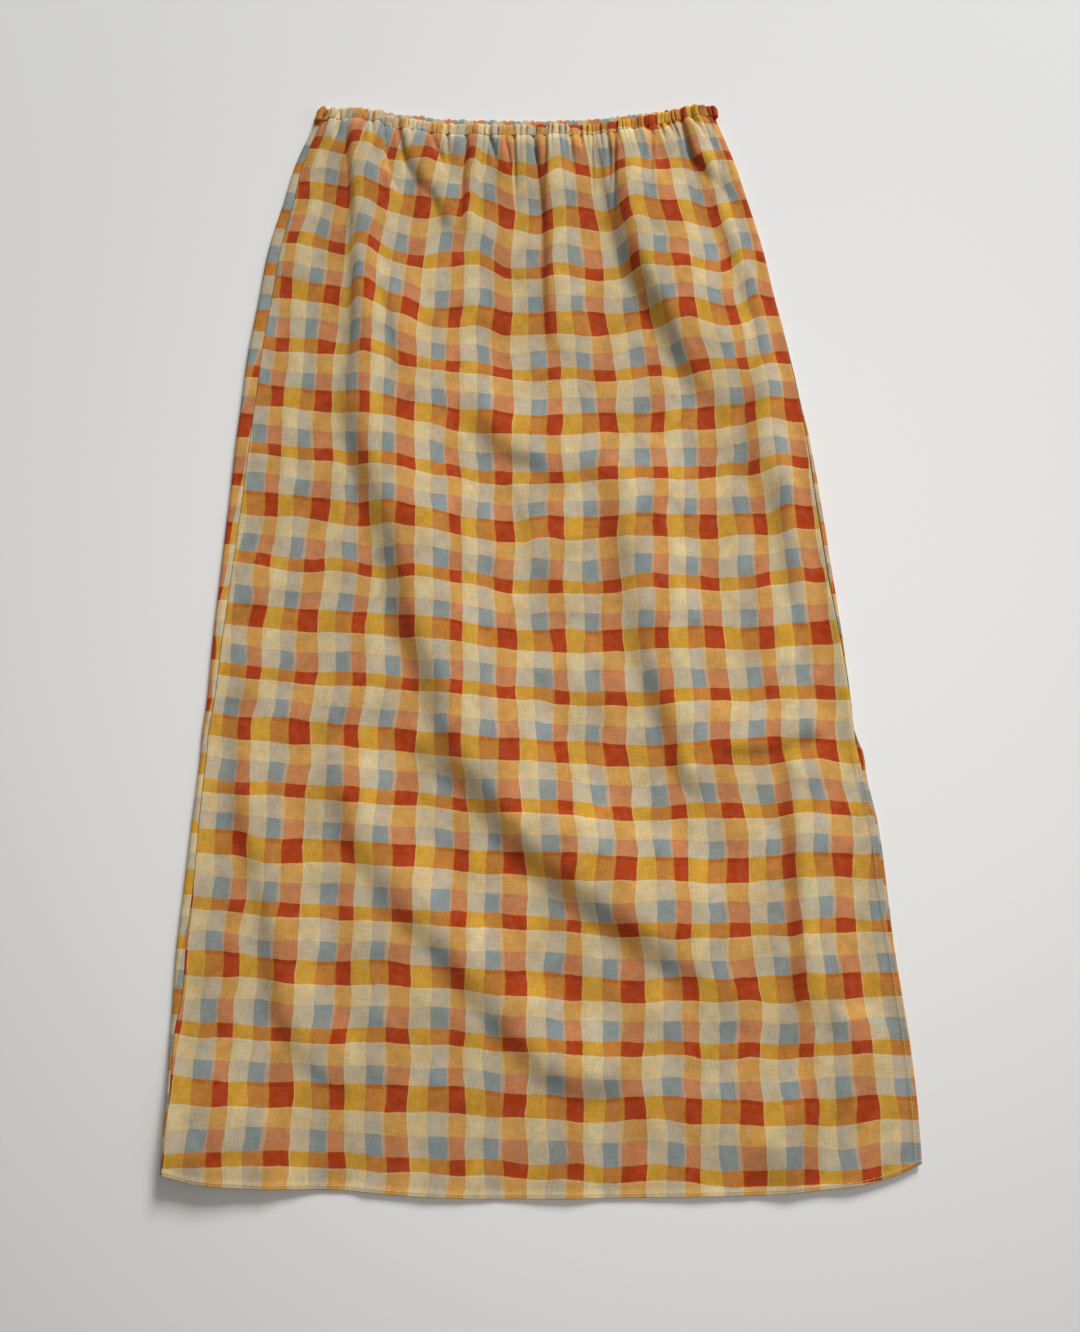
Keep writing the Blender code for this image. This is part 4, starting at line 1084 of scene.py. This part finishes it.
# Where the stripes change, in check squares to either side of a narrow strong stripe. Each row gives
# the place, how much of the strong and the cool dye lies there, how warm the undyed cloth is, and an
# edge: above a half for a pale line beside a stripe, below a half for a darker overlap
ACROSS_STRIPES = (
    (-1.000, 1.0, 0.0, 0.5, 0.5),
    (-0.814, 1.0, 0.0, 0.5, 0.5),
    (-0.802, 0.0, 0.0, 0.6, 0.9),
    (-0.780, 0.0, 0.0, 0.6, 0.5),
    (-0.480, 0.0, 0.0, 0.6, 0.5),
    (-0.464, 0.0, 1.0, 0.5, 0.5),
    (-0.178, 0.0, 1.0, 0.5, 0.5),
    (-0.166, 0.4, 0.4, 0.5, 0.5),
    (-0.141, 0.4, 0.4, 0.5, 0.4),
    (-0.129, 1.0, 0.0, 0.5, 0.5),
    (0.128, 1.0, 0.0, 0.5, 0.5),
    (0.139, 0.0, 0.0, 1.0, 0.7),
    (0.160, 0.0, 0.0, 1.0, 0.5),
    (0.200, 0.0, 0.0, 0.9, 0.5),
    (0.225, 0.0, 0.0, 0.0, 0.5),
    (0.462, 0.0, 0.0, 0.0, 0.5),
    (0.478, 0.0, 1.0, 0.5, 0.5),
    (0.728, 0.0, 1.0, 0.5, 0.5),
    (0.745, 0.3, 0.3, 0.5, 0.5),
    (0.798, 0.3, 0.3, 0.5, 0.4),
    (0.812, 1.0, 0.0, 0.5, 0.4),
    (0.840, 1.0, 0.0, 0.5, 0.5),
    (1.000, 1.0, 0.0, 0.5, 0.5),
)
DOWN_STRIPES = (
    (-1.000, 1.0, 0.0, 0.5, 0.5),
    (-0.813, 1.0, 0.0, 0.5, 0.5),
    (-0.802, 0.0, 0.0, 0.5, 1.0),
    (-0.786, 0.0, 0.0, 0.5, 0.7),
    (-0.770, 0.0, 0.0, 0.5, 0.5),
    (-0.474, 0.0, 0.0, 0.5, 0.5),
    (-0.464, 0.0, 1.0, 0.5, 0.5),
    (-0.125, 0.0, 1.0, 0.5, 0.5),
    (-0.114, 1.0, 0.0, 0.5, 0.5),
    (0.112, 1.0, 0.0, 0.5, 0.5),
    (0.123, 0.0, 0.0, 0.5, 1.0),
    (0.141, 0.0, 0.0, 0.5, 0.8),
    (0.158, 0.0, 0.0, 0.5, 0.5),
    (0.475, 0.0, 0.0, 0.5, 0.5),
    (0.485, 0.0, 1.0, 0.5, 0.5),
    (0.782, 0.0, 1.0, 0.5, 0.5),
    (0.793, 1.0, 0.0, 0.5, 0.0),
    (0.856, 1.0, 0.0, 0.5, 0.1),
    (0.870, 1.0, 0.0, 0.5, 0.5),
    (1.000, 1.0, 0.0, 0.5, 0.5),
)


def stripe_ramp(nodes, place, stripes):
    """Read a row of stripes over two squares: the strong dye, the cool dye, warmth and edge lines."""
    share = nodes.math("MULTIPLY_ADD", nodes.math("WRAP", place, 1.0, -1.0), 0.5, 0.5)
    ramp = nodes.add("ShaderNodeValToRGB", {"Fac": share})
    elements = ramp.color_ramp.elements
    while len(elements) < len(stripes):
        elements.new(0.5)
    for element, stripe in zip(elements, stripes):
        element.position = 0.5 + 0.5 * stripe[0]
    for element, stripe in zip(elements, stripes):
        element.color = stripe[1:]
    parts = nodes.add("ShaderNodeSeparateColor", {"Color": ramp.outputs["Color"]})
    return parts.outputs[0], parts.outputs[1], parts.outputs[2], ramp.outputs["Alpha"]


def check_material(settings):
    """Printed cotton: two sets of stripes that cross, with soft wandering edges, on a fine plain weave."""
    material = bpy.data.materials.new("checked_cotton")
    material.use_nodes = True
    tree = material.node_tree
    nodes = Nodes(tree)
    shader = tree.nodes["Principled BSDF"]
    uv = nodes.add("ShaderNodeUVMap", uv_map="Check").outputs[0]
    split = nodes.add("ShaderNodeSeparateXYZ", {0: uv})
    across, up = split.outputs[0], split.outputs[1]

    def centred(noise):
        """Noise around nought instead of a half."""
        return nodes.math("SUBTRACT", noise, 0.5)

    def wander(offset):
        """Sum of a slow, a quicker and a slight fast wander."""
        start = (offset, offset * 1.7, offset * 0.3)
        moved = nodes.add("ShaderNodeVectorMath", {0: uv, 1: start}).outputs[0]
        total = 0.0
        for scale, share in ((1.1, 1.0), (3.4, 0.25), (14.0, 0.06)):
            swing = centred(nodes.noise(moved, scale, 0.0))
            total = nodes.math("MULTIPLY_ADD", swing, settings.wander * share, total)
        return total

    across_place = nodes.math("ADD", across, wander(3.0))
    down_place = nodes.math("SUBTRACT", wander(23.0), up)
    red, blue, warm, across_edge = stripe_ramp(nodes, across_place, ACROSS_STRIPES)
    yellow, grey, _, down_edge = stripe_ramp(nodes, down_place, DOWN_STRIPES)

    def dye(name):
        """A dye of the print, as a colour that covers fully."""
        return tuple(getattr(settings, name)) + (1.0,)

    def row(plain, cool, strong):
        """One row of the check: its own colour, crossed by a cool and a strong stripe."""
        return nodes.mix(red, nodes.mix(blue, plain, dye(cool)), dye(strong))

    golden = nodes.mix(warm, dye("lemon"), dye("golden"))
    cream = nodes.mix(warm, dye("cream"), dye("warm_cream"))
    yellow_row = row(golden, "orange", "red")
    plain_row = row(cream, "beige", "apricot")
    blue_row = row(dye("pale_grey"), "blue", "salmon")
    print_colour = nodes.mix(yellow, nodes.mix(grey, plain_row, blue_row), yellow_row)

    dyed = nodes.math("MAXIMUM", blue, red)
    pale = nodes.math("MAXIMUM", across_edge, down_edge)
    pale_share = nodes.remap(pale, 0.5, 1.0, 0.0, settings.pale_edge)
    print_colour = nodes.mix(pale_share, print_colour, nodes.mix(dyed, dye("pale_line"), dye("peach_line")))
    over = nodes.math("MULTIPLY", nodes.remap(down_edge, 0.5, 0.0, 0.0, 1.0), dyed)
    over = nodes.math("MAXIMUM", over, nodes.remap(across_edge, 0.5, 0.0, 0.0, 1.0))
    over = nodes.math("MULTIPLY", over, settings.overlap_share)
    print_colour = nodes.mix(over, print_colour, dye("overlap"), "MULTIPLY")

    def stretched(across_scale, up_scale):
        """The place in the check, stretched so that noise falls into streaks."""
        inputs = {0: uv, 1: (across_scale, up_scale, 1.0)}
        return nodes.add("ShaderNodeVectorMath", inputs, operation="MULTIPLY").outputs[0]

    warp_streak = nodes.noise(stretched(50.0, 5.0), 1.0, 3.0, 0.6)
    weft_streak = nodes.noise(stretched(4.0, 52.0), 1.0, 3.0, 0.6)
    grain = nodes.noise(uv, 52.0, 2.0, 0.7)
    mottle = nodes.noise(uv, 7.0, 4.0, 0.6)
    patch = nodes.noise(uv, 2.6, 1.0)
    broad = nodes.noise(uv, 1.1, 1.0)
    tone = MEAN_TONE
    streaky = ((warp_streak, 1.1), (weft_streak, 1.0), (grain, 1.1))
    cloudy = ((mottle, 0.4), (patch, 0.9), (broad, 0.7))
    for noise, share in streaky + cloudy:
        tone = nodes.math("MULTIPLY_ADD", centred(noise), settings.slub * share, tone)
    richness = nodes.math("MULTIPLY_ADD", centred(mottle), -0.2, 1.0)
    changes = {"Color": print_colour, "Value": tone, "Saturation": richness}
    toned = nodes.add("ShaderNodeHueSaturation", changes)
    swing = centred(nodes.noise(uv, 4.3, 3.0, 0.6))
    warmth = nodes.math("MULTIPLY_ADD", swing, settings.tint, 0.5)
    darker = nodes.math("SUBTRACT", MEAN_TONE, tone)
    warmth = nodes.math("MULTIPLY_ADD", darker, DARK_WARMTH, warmth)
    tinted = nodes.mix(warmth, COOL_TINT, WARM_TINT)
    tinted = nodes.mix(1.0, toned.outputs[0], tinted, "MULTIPLY")

    threads = SQUARE / settings.thread_pitch
    grid = nodes.add("ShaderNodeSeparateXYZ", {0: stretched(threads, threads)})
    warp = nodes.math("ABSOLUTE", nodes.math("SINE", nodes.math("MULTIPLY", grid.outputs[0], math.pi)))
    weft = nodes.math("ABSOLUTE", nodes.math("SINE", nodes.math("MULTIPLY", grid.outputs[1], math.pi)))
    both = nodes.math("ADD", grid.outputs[0], grid.outputs[1])
    plain = nodes.math("SINE", nodes.math("MULTIPLY", both, math.pi))
    over_under = nodes.math("GREATER_THAN", plain, 0.0)
    weave = nodes.add("ShaderNodeMix", {0: over_under, 2: warp, 3: weft}, data_type="FLOAT").outputs[0]
    streaks = nodes.math("ADD", warp_streak, weft_streak)
    relief = nodes.math("ADD", nodes.math("MULTIPLY", weave, 0.5), streaks)
    raised = {"Height": relief, "Strength": 0.35, "Distance": settings.thread_relief}
    bump = nodes.add("ShaderNodeBump", raised)
    tree.links.new(tinted, shader.inputs["Base Color"])
    tree.links.new(bump.outputs[0], shader.inputs["Normal"])
    shader.inputs["Roughness"].default_value = 0.88
    shader.inputs["Specular IOR Level"].default_value = 0.11
    shader.inputs["Sheen Weight"].default_value = 0.05
    shader.inputs["Sheen Roughness"].default_value = 0.5
    material.diffuse_color = dye("apricot")
    return material


def thread_material(settings):
    """Pale twisted cotton thread."""
    material = bpy.data.materials.new("cream_thread")
    material.use_nodes = True
    nodes = Nodes(material.node_tree)
    shader = material.node_tree.nodes["Principled BSDF"]
    place = nodes.add("ShaderNodeTexCoord").outputs["Object"]
    fuzz = nodes.noise(place, 2600.0, 2.0)
    tint = nodes.mix(fuzz, tuple(settings.thread) + (1.0,), tuple(settings.thread_shade) + (1.0,))
    bump = nodes.add("ShaderNodeBump", {"Height": fuzz, "Strength": 0.4, "Distance": 0.0001})
    material.node_tree.links.new(tint, shader.inputs["Base Color"])
    material.node_tree.links.new(bump.outputs[0], shader.inputs["Normal"])
    shader.inputs["Roughness"].default_value = 0.75
    return material


def floor_material(settings):
    """Plain pale paper with a very slight tooth."""
    material = bpy.data.materials.new("pale_floor")
    material.use_nodes = True
    nodes = Nodes(material.node_tree)
    shader = material.node_tree.nodes["Principled BSDF"]
    place = nodes.add("ShaderNodeTexCoord").outputs["Object"]
    tooth = nodes.noise(place, 180.0, 3.0)
    shade = tuple(part * FLOOR_SHADE for part in settings.floor) + (1.0,)
    tint = nodes.mix(tooth, tuple(settings.floor) + (1.0,), shade)
    material.node_tree.links.new(tint, shader.inputs["Base Color"])
    shader.inputs["Roughness"].default_value = 0.9
    shader.inputs["Specular IOR Level"].default_value = 0.1
    return material


def shared_material(name, build, settings):
    """The material of that name, built at its first use."""
    return bpy.data.materials.get(name) or build(settings)


def stitch_tree():
    """Node tree that lays one stitch after another along the edges of a mesh line."""
    tree = bpy.data.node_groups.new("stitch_run", "GeometryNodeTree")
    sockets = (
        ("Geometry", "NodeSocketGeometry", "INPUT", None),
        ("Pitch", "NodeSocketFloat", "INPUT", 0.0026),
        ("Length", "NodeSocketFloat", "INPUT", 0.0019),
        ("Thickness", "NodeSocketFloat", "INPUT", 0.0004),
        ("Seed", "NodeSocketInt", "INPUT", 1),
        ("Material", "NodeSocketMaterial", "INPUT", None),
        ("Geometry", "NodeSocketGeometry", "OUTPUT", None),
    )
    for name, kind, way, value in sockets:
        socket = tree.interface.new_socket(name=name, in_out=way, socket_type=kind)
        if value is not None:
            socket.default_value = value
    nodes = Nodes(tree)
    given = nodes.add("NodeGroupInput").outputs
    curve = nodes.add("GeometryNodeMeshToCurve", {"Mesh": given["Geometry"]}).outputs[0]
    spacing = {"Curve": curve, "Length": given["Pitch"]}
    spaced = nodes.add("GeometryNodeResampleCurve", spacing, mode="LENGTH")
    points = nodes.add("GeometryNodeCurveToPoints", {"Curve": spaced.outputs[0]}, mode="EVALUATED")
    ball = nodes.add("GeometryNodeMeshUVSphere", {"Segments": 6, "Rings": 4, "Radius": 0.5})
    width, length = given["Thickness"], given["Length"]
    size = nodes.add("ShaderNodeCombineXYZ", {0: width, 1: width, 2: length})
    share = nodes.add("FunctionNodeRandomValue", {"Seed": given["Seed"]}, data_type="FLOAT")
    share.inputs[2].default_value = 0.82
    share.inputs[3].default_value = 1.14
    scaling = {0: size.outputs[0], "Scale": share.outputs[1]}
    uneven = nodes.add("ShaderNodeVectorMath", scaling, operation="SCALE")
    laid = nodes.add("GeometryNodeInstanceOnPoints", {
        "Points": points.outputs["Points"],
        "Instance": ball.outputs[0],
        "Rotation": points.outputs["Rotation"],
        "Scale": uneven.outputs[0],
    })
    real = nodes.add("GeometryNodeRealizeInstances", {0: laid.outputs[0]})
    smooth = nodes.add("GeometryNodeSetShadeSmooth", {0: real.outputs[0]})
    painted = nodes.add("GeometryNodeSetMaterial", {0: smooth.outputs[0], "Material": given["Material"]})
    nodes.add("NodeGroupOutput", {0: painted.outputs[0]})
    return tree


def stitch_run(name, points, settings, seed):
    """Stitches along a line of points, as one plain mesh."""
    mesh = bpy.data.meshes.new(name + "_line")
    mesh.from_pydata(points, [(n, n + 1) for n in range(len(points) - 1)], [])
    line = bpy.data.objects.new(name + "_line", mesh)
    bpy.context.collection.objects.link(line)
    tree = bpy.data.node_groups.get("stitch_run") or stitch_tree()
    modifier = line.modifiers.new("stitches", "NODES")
    modifier.node_group = tree
    values = {
        "Pitch": settings.pitch,
        "Length": settings.length,
        "Thickness": settings.width,
        "Seed": seed,
        "Material": shared_material("cream_thread", thread_material, settings),
    }
    for item in tree.interface.items_tree:
        if item.in_out == "INPUT" and item.name in values:
            modifier[item.identifier] = values[item.name]
    line.update_tag()
    bpy.context.view_layer.update()
    shown = line.evaluated_get(bpy.context.evaluated_depsgraph_get())
    result = bpy.data.meshes.new_from_object(shown)
    result.name = name
    bpy.data.objects.remove(line, do_unlink=True)
    piece = bpy.data.objects.new(name, result)
    bpy.context.collection.objects.link(piece)
    return piece


def surface_line(levels, lengths_of, lift):
    """Points above the cloth: one for each level, or many along a single level."""
    paths = skirt_paths(levels)
    places, headings = read_paths(paths, [lengths_of(path) for path in paths])
    return places + outward_normals(places, headings) * lift


def fetch(name):
    """The settings of one part of the skirt."""
    return getattr(bpy.context.scene, name)


def dye_property(name, description, screen):
    """A colour that the user may change, given as a screen colour."""
    default = colour(*screen)
    return bpy.props.FloatVectorProperty(
        name=name, description=description, default=default, subtype="COLOR", size=3, min=0.0, max=1.0)


def length_property(name, description, default):
    """A length that the user may change, in metres."""
    return bpy.props.FloatProperty(name=name, description=description, default=default, unit="LENGTH")


def place_property(name, description, default):
    """A place that the user may change, in metres."""
    return bpy.props.FloatVectorProperty(name=name, description=description, default=default, subtype="XYZ")


def angle_property(name, description, degrees):
    """An angle that the user may change, given in degrees."""
    default = math.radians(degrees)
    return bpy.props.FloatProperty(name=name, description=description, default=default, subtype="ANGLE")


def amount_property(name, description, default, **limits):
    """A plain number that the user may change."""
    return bpy.props.FloatProperty(name=name, description=description, default=default, **limits)


def count_property(name, description, default):
    """A whole number that the user may change."""
    return bpy.props.IntProperty(name=name, description=description, default=default)


class SKIRT_PG_cloth(bpy.types.PropertyGroup):
    """Sizes of the cloth."""

    thickness: length_property("Cloth thickness", "Thickness of the single cloth", 0.0006)
    turned: length_property("Turned thickness", "What a turned edge adds", 0.0005)
    hem_depth: length_property("Hem depth", "Depth of the narrow hem", 0.0038)
    slit_depth: length_property("Slit edge depth", "Depth of the turned slit edges", 0.0050)
    gather_height: length_property("Gather height", "How far the gathers stand out", 0.0013)
    gather_band: length_property("Gathered band", "Height of the finely modelled band", 0.075)
    scallop: length_property("Scallop", "Unevenness of the casing's upper edge", 0.0016)
    row_height: length_property("Row height", "Height of a row of faces", 0.0042)
    gather_row_height: length_property("Gather row height", "Height of a row under the casing", 0.0030)
    front_columns: count_property("Front columns", "Columns of the front", 156)
    gather_split: count_property("Gather split", "Columns under the casing for each column of the front", 3)
    back_columns: count_property("Back columns", "Columns of the back", 110)
    casing_rows: count_property("Casing rows", "Rows of the casing", 15)
    pucker_columns: count_property("Pucker columns", "Columns in one pucker of the casing", 12)


class SKIRT_PG_print(bpy.types.PropertyGroup):
    """Colours of the check and scale of the weave."""

    cream: dye_property("Cream", "Plain cloth", (216, 194, 148))
    warm_cream: dye_property("Warm cream", "Plain cloth after a broad red stripe", (211, 185, 137))
    beige: dye_property("Beige", "Upright blue stripe on plain cloth", (192, 175, 147))
    apricot: dye_property("Apricot", "Red stripe on plain cloth", (207, 155, 83))
    pale_grey: dye_property("Pale grey", "Level blue stripe on plain cloth", (196, 179, 149))
    blue: dye_property("Dusty blue", "Blue stripes crossing", (142, 149, 146))
    salmon: dye_property("Salmon", "Red stripe on a level blue stripe", (197, 130, 85))
    lemon: dye_property("Lemon", "Yellow stripe on plain cloth", (209, 158, 58))
    golden: dye_property("Golden", "Yellow stripe on warm cloth", (205, 152, 57))
    orange: dye_property("Orange", "Yellow stripe on an upright blue stripe", (192, 126, 57))
    red: dye_property("Red", "Yellow and red stripes crossing", (175, 65, 26))
    pale_line: dye_property("Pale line", "Thin unprinted line beside a stripe", (228, 208, 160))
    peach_line: dye_property("Peach line", "The same line over a dyed stripe", (220, 176, 130))
    overlap: dye_property("Overlap", "Shade where two stripes overlap", (236, 212, 198))
    pale_edge: amount_property("Pale line strength", "How much the pale lines show", 0.5, min=0.0, max=1.0)
    overlap_share: amount_property("Overlap strength", "How much overlaps darken", 0.8, min=0.0, max=1.0)
    wander: amount_property("Wander", "How far the stripes' edges wander, in squares", 0.16)
    slub: amount_property("Slub", "Unevenness of the yarn's tone", 0.46)
    tint: amount_property("Tint", "How much the cloth turns warmer and cooler from place to place", 6.2)
    thread_pitch: length_property("Thread pitch", "Distance between threads", 0.00042)
    thread_relief: length_property("Thread relief", "Height of the weave", 0.00012)


class SKIRT_PG_stitches(bpy.types.PropertyGroup):
    """Sizes and colours of the stitches."""

    pitch: length_property("Pitch", "Stitch to stitch", 0.0027)
    length: length_property("Length", "Length of a stitch", 0.0022)
    width: length_property("Width", "Width of the thread", 0.00042)
    hem_inset: length_property("Hem inset", "Hem stitches from the edge", 0.0031)
    slit_inset: length_property("Slit inset", "Slit stitches from the edge", 0.0043)
    thread: dye_property("Thread", "Colour of the thread", (243, 226, 176))
    thread_shade: dye_property("Thread shade", "Darker fibres of the thread", (226, 200, 150))


class SKIRT_PG_stage(bpy.types.PropertyGroup):
    """Floor, light and camera."""

    floor: dye_property("Floor", "Colour of the floor", (238, 237, 236))
    floor_size: length_property("Floor size", "Side of the floor", 9.0)
    key_power: amount_property("Window power", "Power of the main light", 402.0)
    key_place: place_property("Window place", "Where the main light stands", (1.975, 4.889, 2.863))
    key_size: length_property("Window size", "Side of the main light", 1.9)
    side_power: amount_property("Side power", "Power of the side light", 6.0)
    side_place: place_property("Side place", "Where the side light stands", (1.92, 0.17, 1.25))
    side_size: length_property("Side size", "Side of the side light", 1.4)
    pool_power: amount_property("Pool power", "Power of the light overhead", 56.0)
    pool_place: place_property("Pool place", "Where the light overhead hangs", (0.06, -0.11, 2.5))
    pool_angle: angle_property("Pool angle", "Opening of the light overhead", 32.5)
    fill: amount_property("Room light", "Strength of the light all round", 0.115)
    distance: length_property("Distance", "Camera to picture centre", 1.036)
    elevation: angle_property("Elevation", "Camera above the horizon", 82.6)
    target: place_property("Picture centre", "Point in the middle of the picture", (0.00076, -0.0365, 0.0))
    lens: amount_property("Lens", "Focal length in millimetres", 35.0)


class SKIRT_OT_panels(bpy.types.Operator):
    """Lay out the front and back panels"""

    bl_idname = "skirt.panels"
    bl_label = "Panels"

    def execute(self, context):
        cloth = fetch("skirt_cloth")
        print_settings = fetch("skirt_print")
        material = shared_material("checked_cotton", check_material, print_settings)
        pieces = ((front_cloth(cloth), "front_panel"), (back_cloth(cloth), "back_panel"))
        for piece, node in pieces:
            piece.data.materials.append(material)
            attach(piece, "root")
            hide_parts(node)
        return {"FINISHED"}


class SKIRT_OT_casing(bpy.types.Operator):
    """Draw up the waist casing"""

    bl_idname = "skirt.casing"
    bl_label = "Waist casing"

    def execute(self, context):
        cloth = fetch("skirt_cloth")
        material = shared_material("checked_cotton", check_material, fetch("skirt_print"))
        front = casing_cloth("front_casing_cloth", cloth, FRONT_SEED, True)
        back = casing_cloth("back_casing_cloth", cloth, BACK_SEED, False)
        for piece, node in ((front, "front_waist_casing"), (back, "back_waist_casing")):
            piece.data.materials.append(material)
            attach(piece, "root")
            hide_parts(node)
        return {"FINISHED"}


class SKIRT_OT_stitches(bpy.types.Operator):
    """Sew the hem, the slit edges and the casing"""

    bl_idname = "skirt.stitches"
    bl_label = "Stitches"

    def execute(self, context):
        cloth = fetch("skirt_cloth")
        thread = fetch("skirt_stitches")
        shares = np.linspace(0.0, 1.0, STITCH_POINTS)
        lift = 0.5 * SOLID_CLOTH + cloth.turned + THREAD_LIFT * thread.width

        def along_front(path):
            """Lengths along the front, from seam to seam."""
            start = path["left_seam"] + STITCH_SIDE_INSET
            return start + (path["right_end"] - path["right_seam"] - STITCH_SIDE_INSET - start) * shares

        def along_slit(path):
            """The length at which the slit's stitches lie."""
            return np.array([path["right_end"] - thread.slit_inset])

        def line_across(level, height):
            """A line of points across the front at a level."""
            levels = [level - STITCH_ROW_STEP, level, level + STITCH_ROW_STEP]
            return surface_line(levels, along_front, height)[1]

        slit_levels = np.linspace(HEM_LEVEL + cloth.hem_depth, SLIT_TOP - STITCH_SLIT_TOP, SLIT_POINTS)
        hem = line_across(HEM_LEVEL + thread.hem_inset, lift)
        slit = surface_line(slit_levels, along_slit, lift)[:, 0]
        waist = line_across(CASING_LEVEL + STITCH_WAIST_RISE, 0.5 * SOLID_CLOTH + STITCH_WAIST_LIFT)
        runs = (("hem_stitches", hem, 3), ("slit_stitches", slit, 5), ("waist_stitches", waist, 7))
        for name, line, seed in runs:
            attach(stitch_run(name, line, thread, seed), "root")
        return {"FINISHED"}


class SKIRT_OT_declare(bpy.types.Operator):
    """Step that changes nothing in the scene"""

    bl_idname = "skirt.declare"
    bl_label = "Cut of the cloth"

    def execute(self, context):
        return {"FINISHED"}


class SKIRT_OT_stage(bpy.types.Operator):
    """Set up the floor, the light and the camera"""

    bl_idname = "skirt.stage"
    bl_label = "Studio"

    def execute(self, context):
        stage = fetch("skirt_stage")
        half = 0.5 * stage.floor_size
        mesh = bpy.data.meshes.new("floor")
        sides = ((-half, -half), (half, -half), (half, half), (-half, half))
        corners = [(x, y, FLOOR_LEVEL) for x, y in sides]
        mesh.from_pydata(corners, [], [(0, 1, 2, 3)])
        floor = bpy.data.objects.new("floor", mesh)
        floor.data.materials.append(floor_material(stage))
        context.collection.objects.link(floor)
        for name in ("key", "side"):
            light = bpy.data.lights.new(name + "_light", "AREA")
            light.energy = getattr(stage, name + "_power")
            light.size = getattr(stage, name + "_size")
            light.color = WINDOW_COLOUR
            lamp = bpy.data.objects.new(name + "_light", light)
            lamp.location = getattr(stage, name + "_place")
            lamp.rotation_euler = (-lamp.location).to_track_quat("-Z", "Y").to_euler()
            context.collection.objects.link(lamp)
        pool = bpy.data.lights.new("pool_light", "SPOT")
        pool.energy = stage.pool_power
        pool.spot_size = stage.pool_angle
        pool.spot_blend = 1.0
        pool.shadow_soft_size = 0.3
        pool.color = POOL_COLOUR
        overhead = bpy.data.objects.new("pool_light", pool)
        overhead.location = stage.pool_place
        context.collection.objects.link(overhead)
        world = bpy.data.worlds.new("room")
        world.use_nodes = True
        background = world.node_tree.nodes["Background"]
        background.inputs[0].default_value = ROOM_COLOUR
        background.inputs[1].default_value = stage.fill
        context.scene.world = world
        context.scene.view_settings.view_transform = "Standard"
        camera = bpy.data.cameras.new("camera")
        camera.lens = stage.lens
        camera.sensor_width = 36.0
        eye = bpy.data.objects.new("camera", camera)
        target = Vector(stage.target)
        back = Vector((0.0, -math.cos(stage.elevation), math.sin(stage.elevation)))
        eye.location = target + back * stage.distance
        eye.rotation_euler = (-back).to_track_quat("-Z", "Y").to_euler()
        context.collection.objects.link(eye)
        context.scene.camera = eye
        return {"FINISHED"}


class SKIRT_PT_panel(bpy.types.Panel):
    """Lists the steps that build the skirt."""

    bl_label = "Slit midi skirt"
    bl_idname = "SKIRT_PT_panel"
    bl_space_type = "VIEW_3D"
    bl_region_type = "UI"
    bl_category = "Skirt"

    def draw(self, context):
        for step in STEPS:
            self.layout.operator(step.bl_idname)


GROUPS = {
    "skirt_cloth": SKIRT_PG_cloth,
    "skirt_print": SKIRT_PG_print,
    "skirt_stitches": SKIRT_PG_stitches,
    "skirt_stage": SKIRT_PG_stage,
}
STEPS = (SKIRT_OT_panels, SKIRT_OT_casing, SKIRT_OT_stitches, SKIRT_OT_declare, SKIRT_OT_stage)


def register():
    """Register the settings, the steps and the panel."""
    for item in (*GROUPS.values(), *STEPS, SKIRT_PT_panel):
        bpy.utils.register_class(item)
    for name, group in GROUPS.items():
        setattr(bpy.types.Scene, name, bpy.props.PointerProperty(type=group))


def unregister():
    """Take everything off again."""
    for name in GROUPS:
        delattr(bpy.types.Scene, name)
    for item in (SKIRT_PT_panel, *reversed(STEPS), *reversed(GROUPS.values())):
        bpy.utils.unregister_class(item)


def main():
    """Build the skirt and its studio."""
    register()
    for step in STEPS:
        group, name = step.bl_idname.split(".")
        getattr(getattr(bpy.ops, group), name)()
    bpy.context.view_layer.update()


if __name__ == "__main__":
    main()
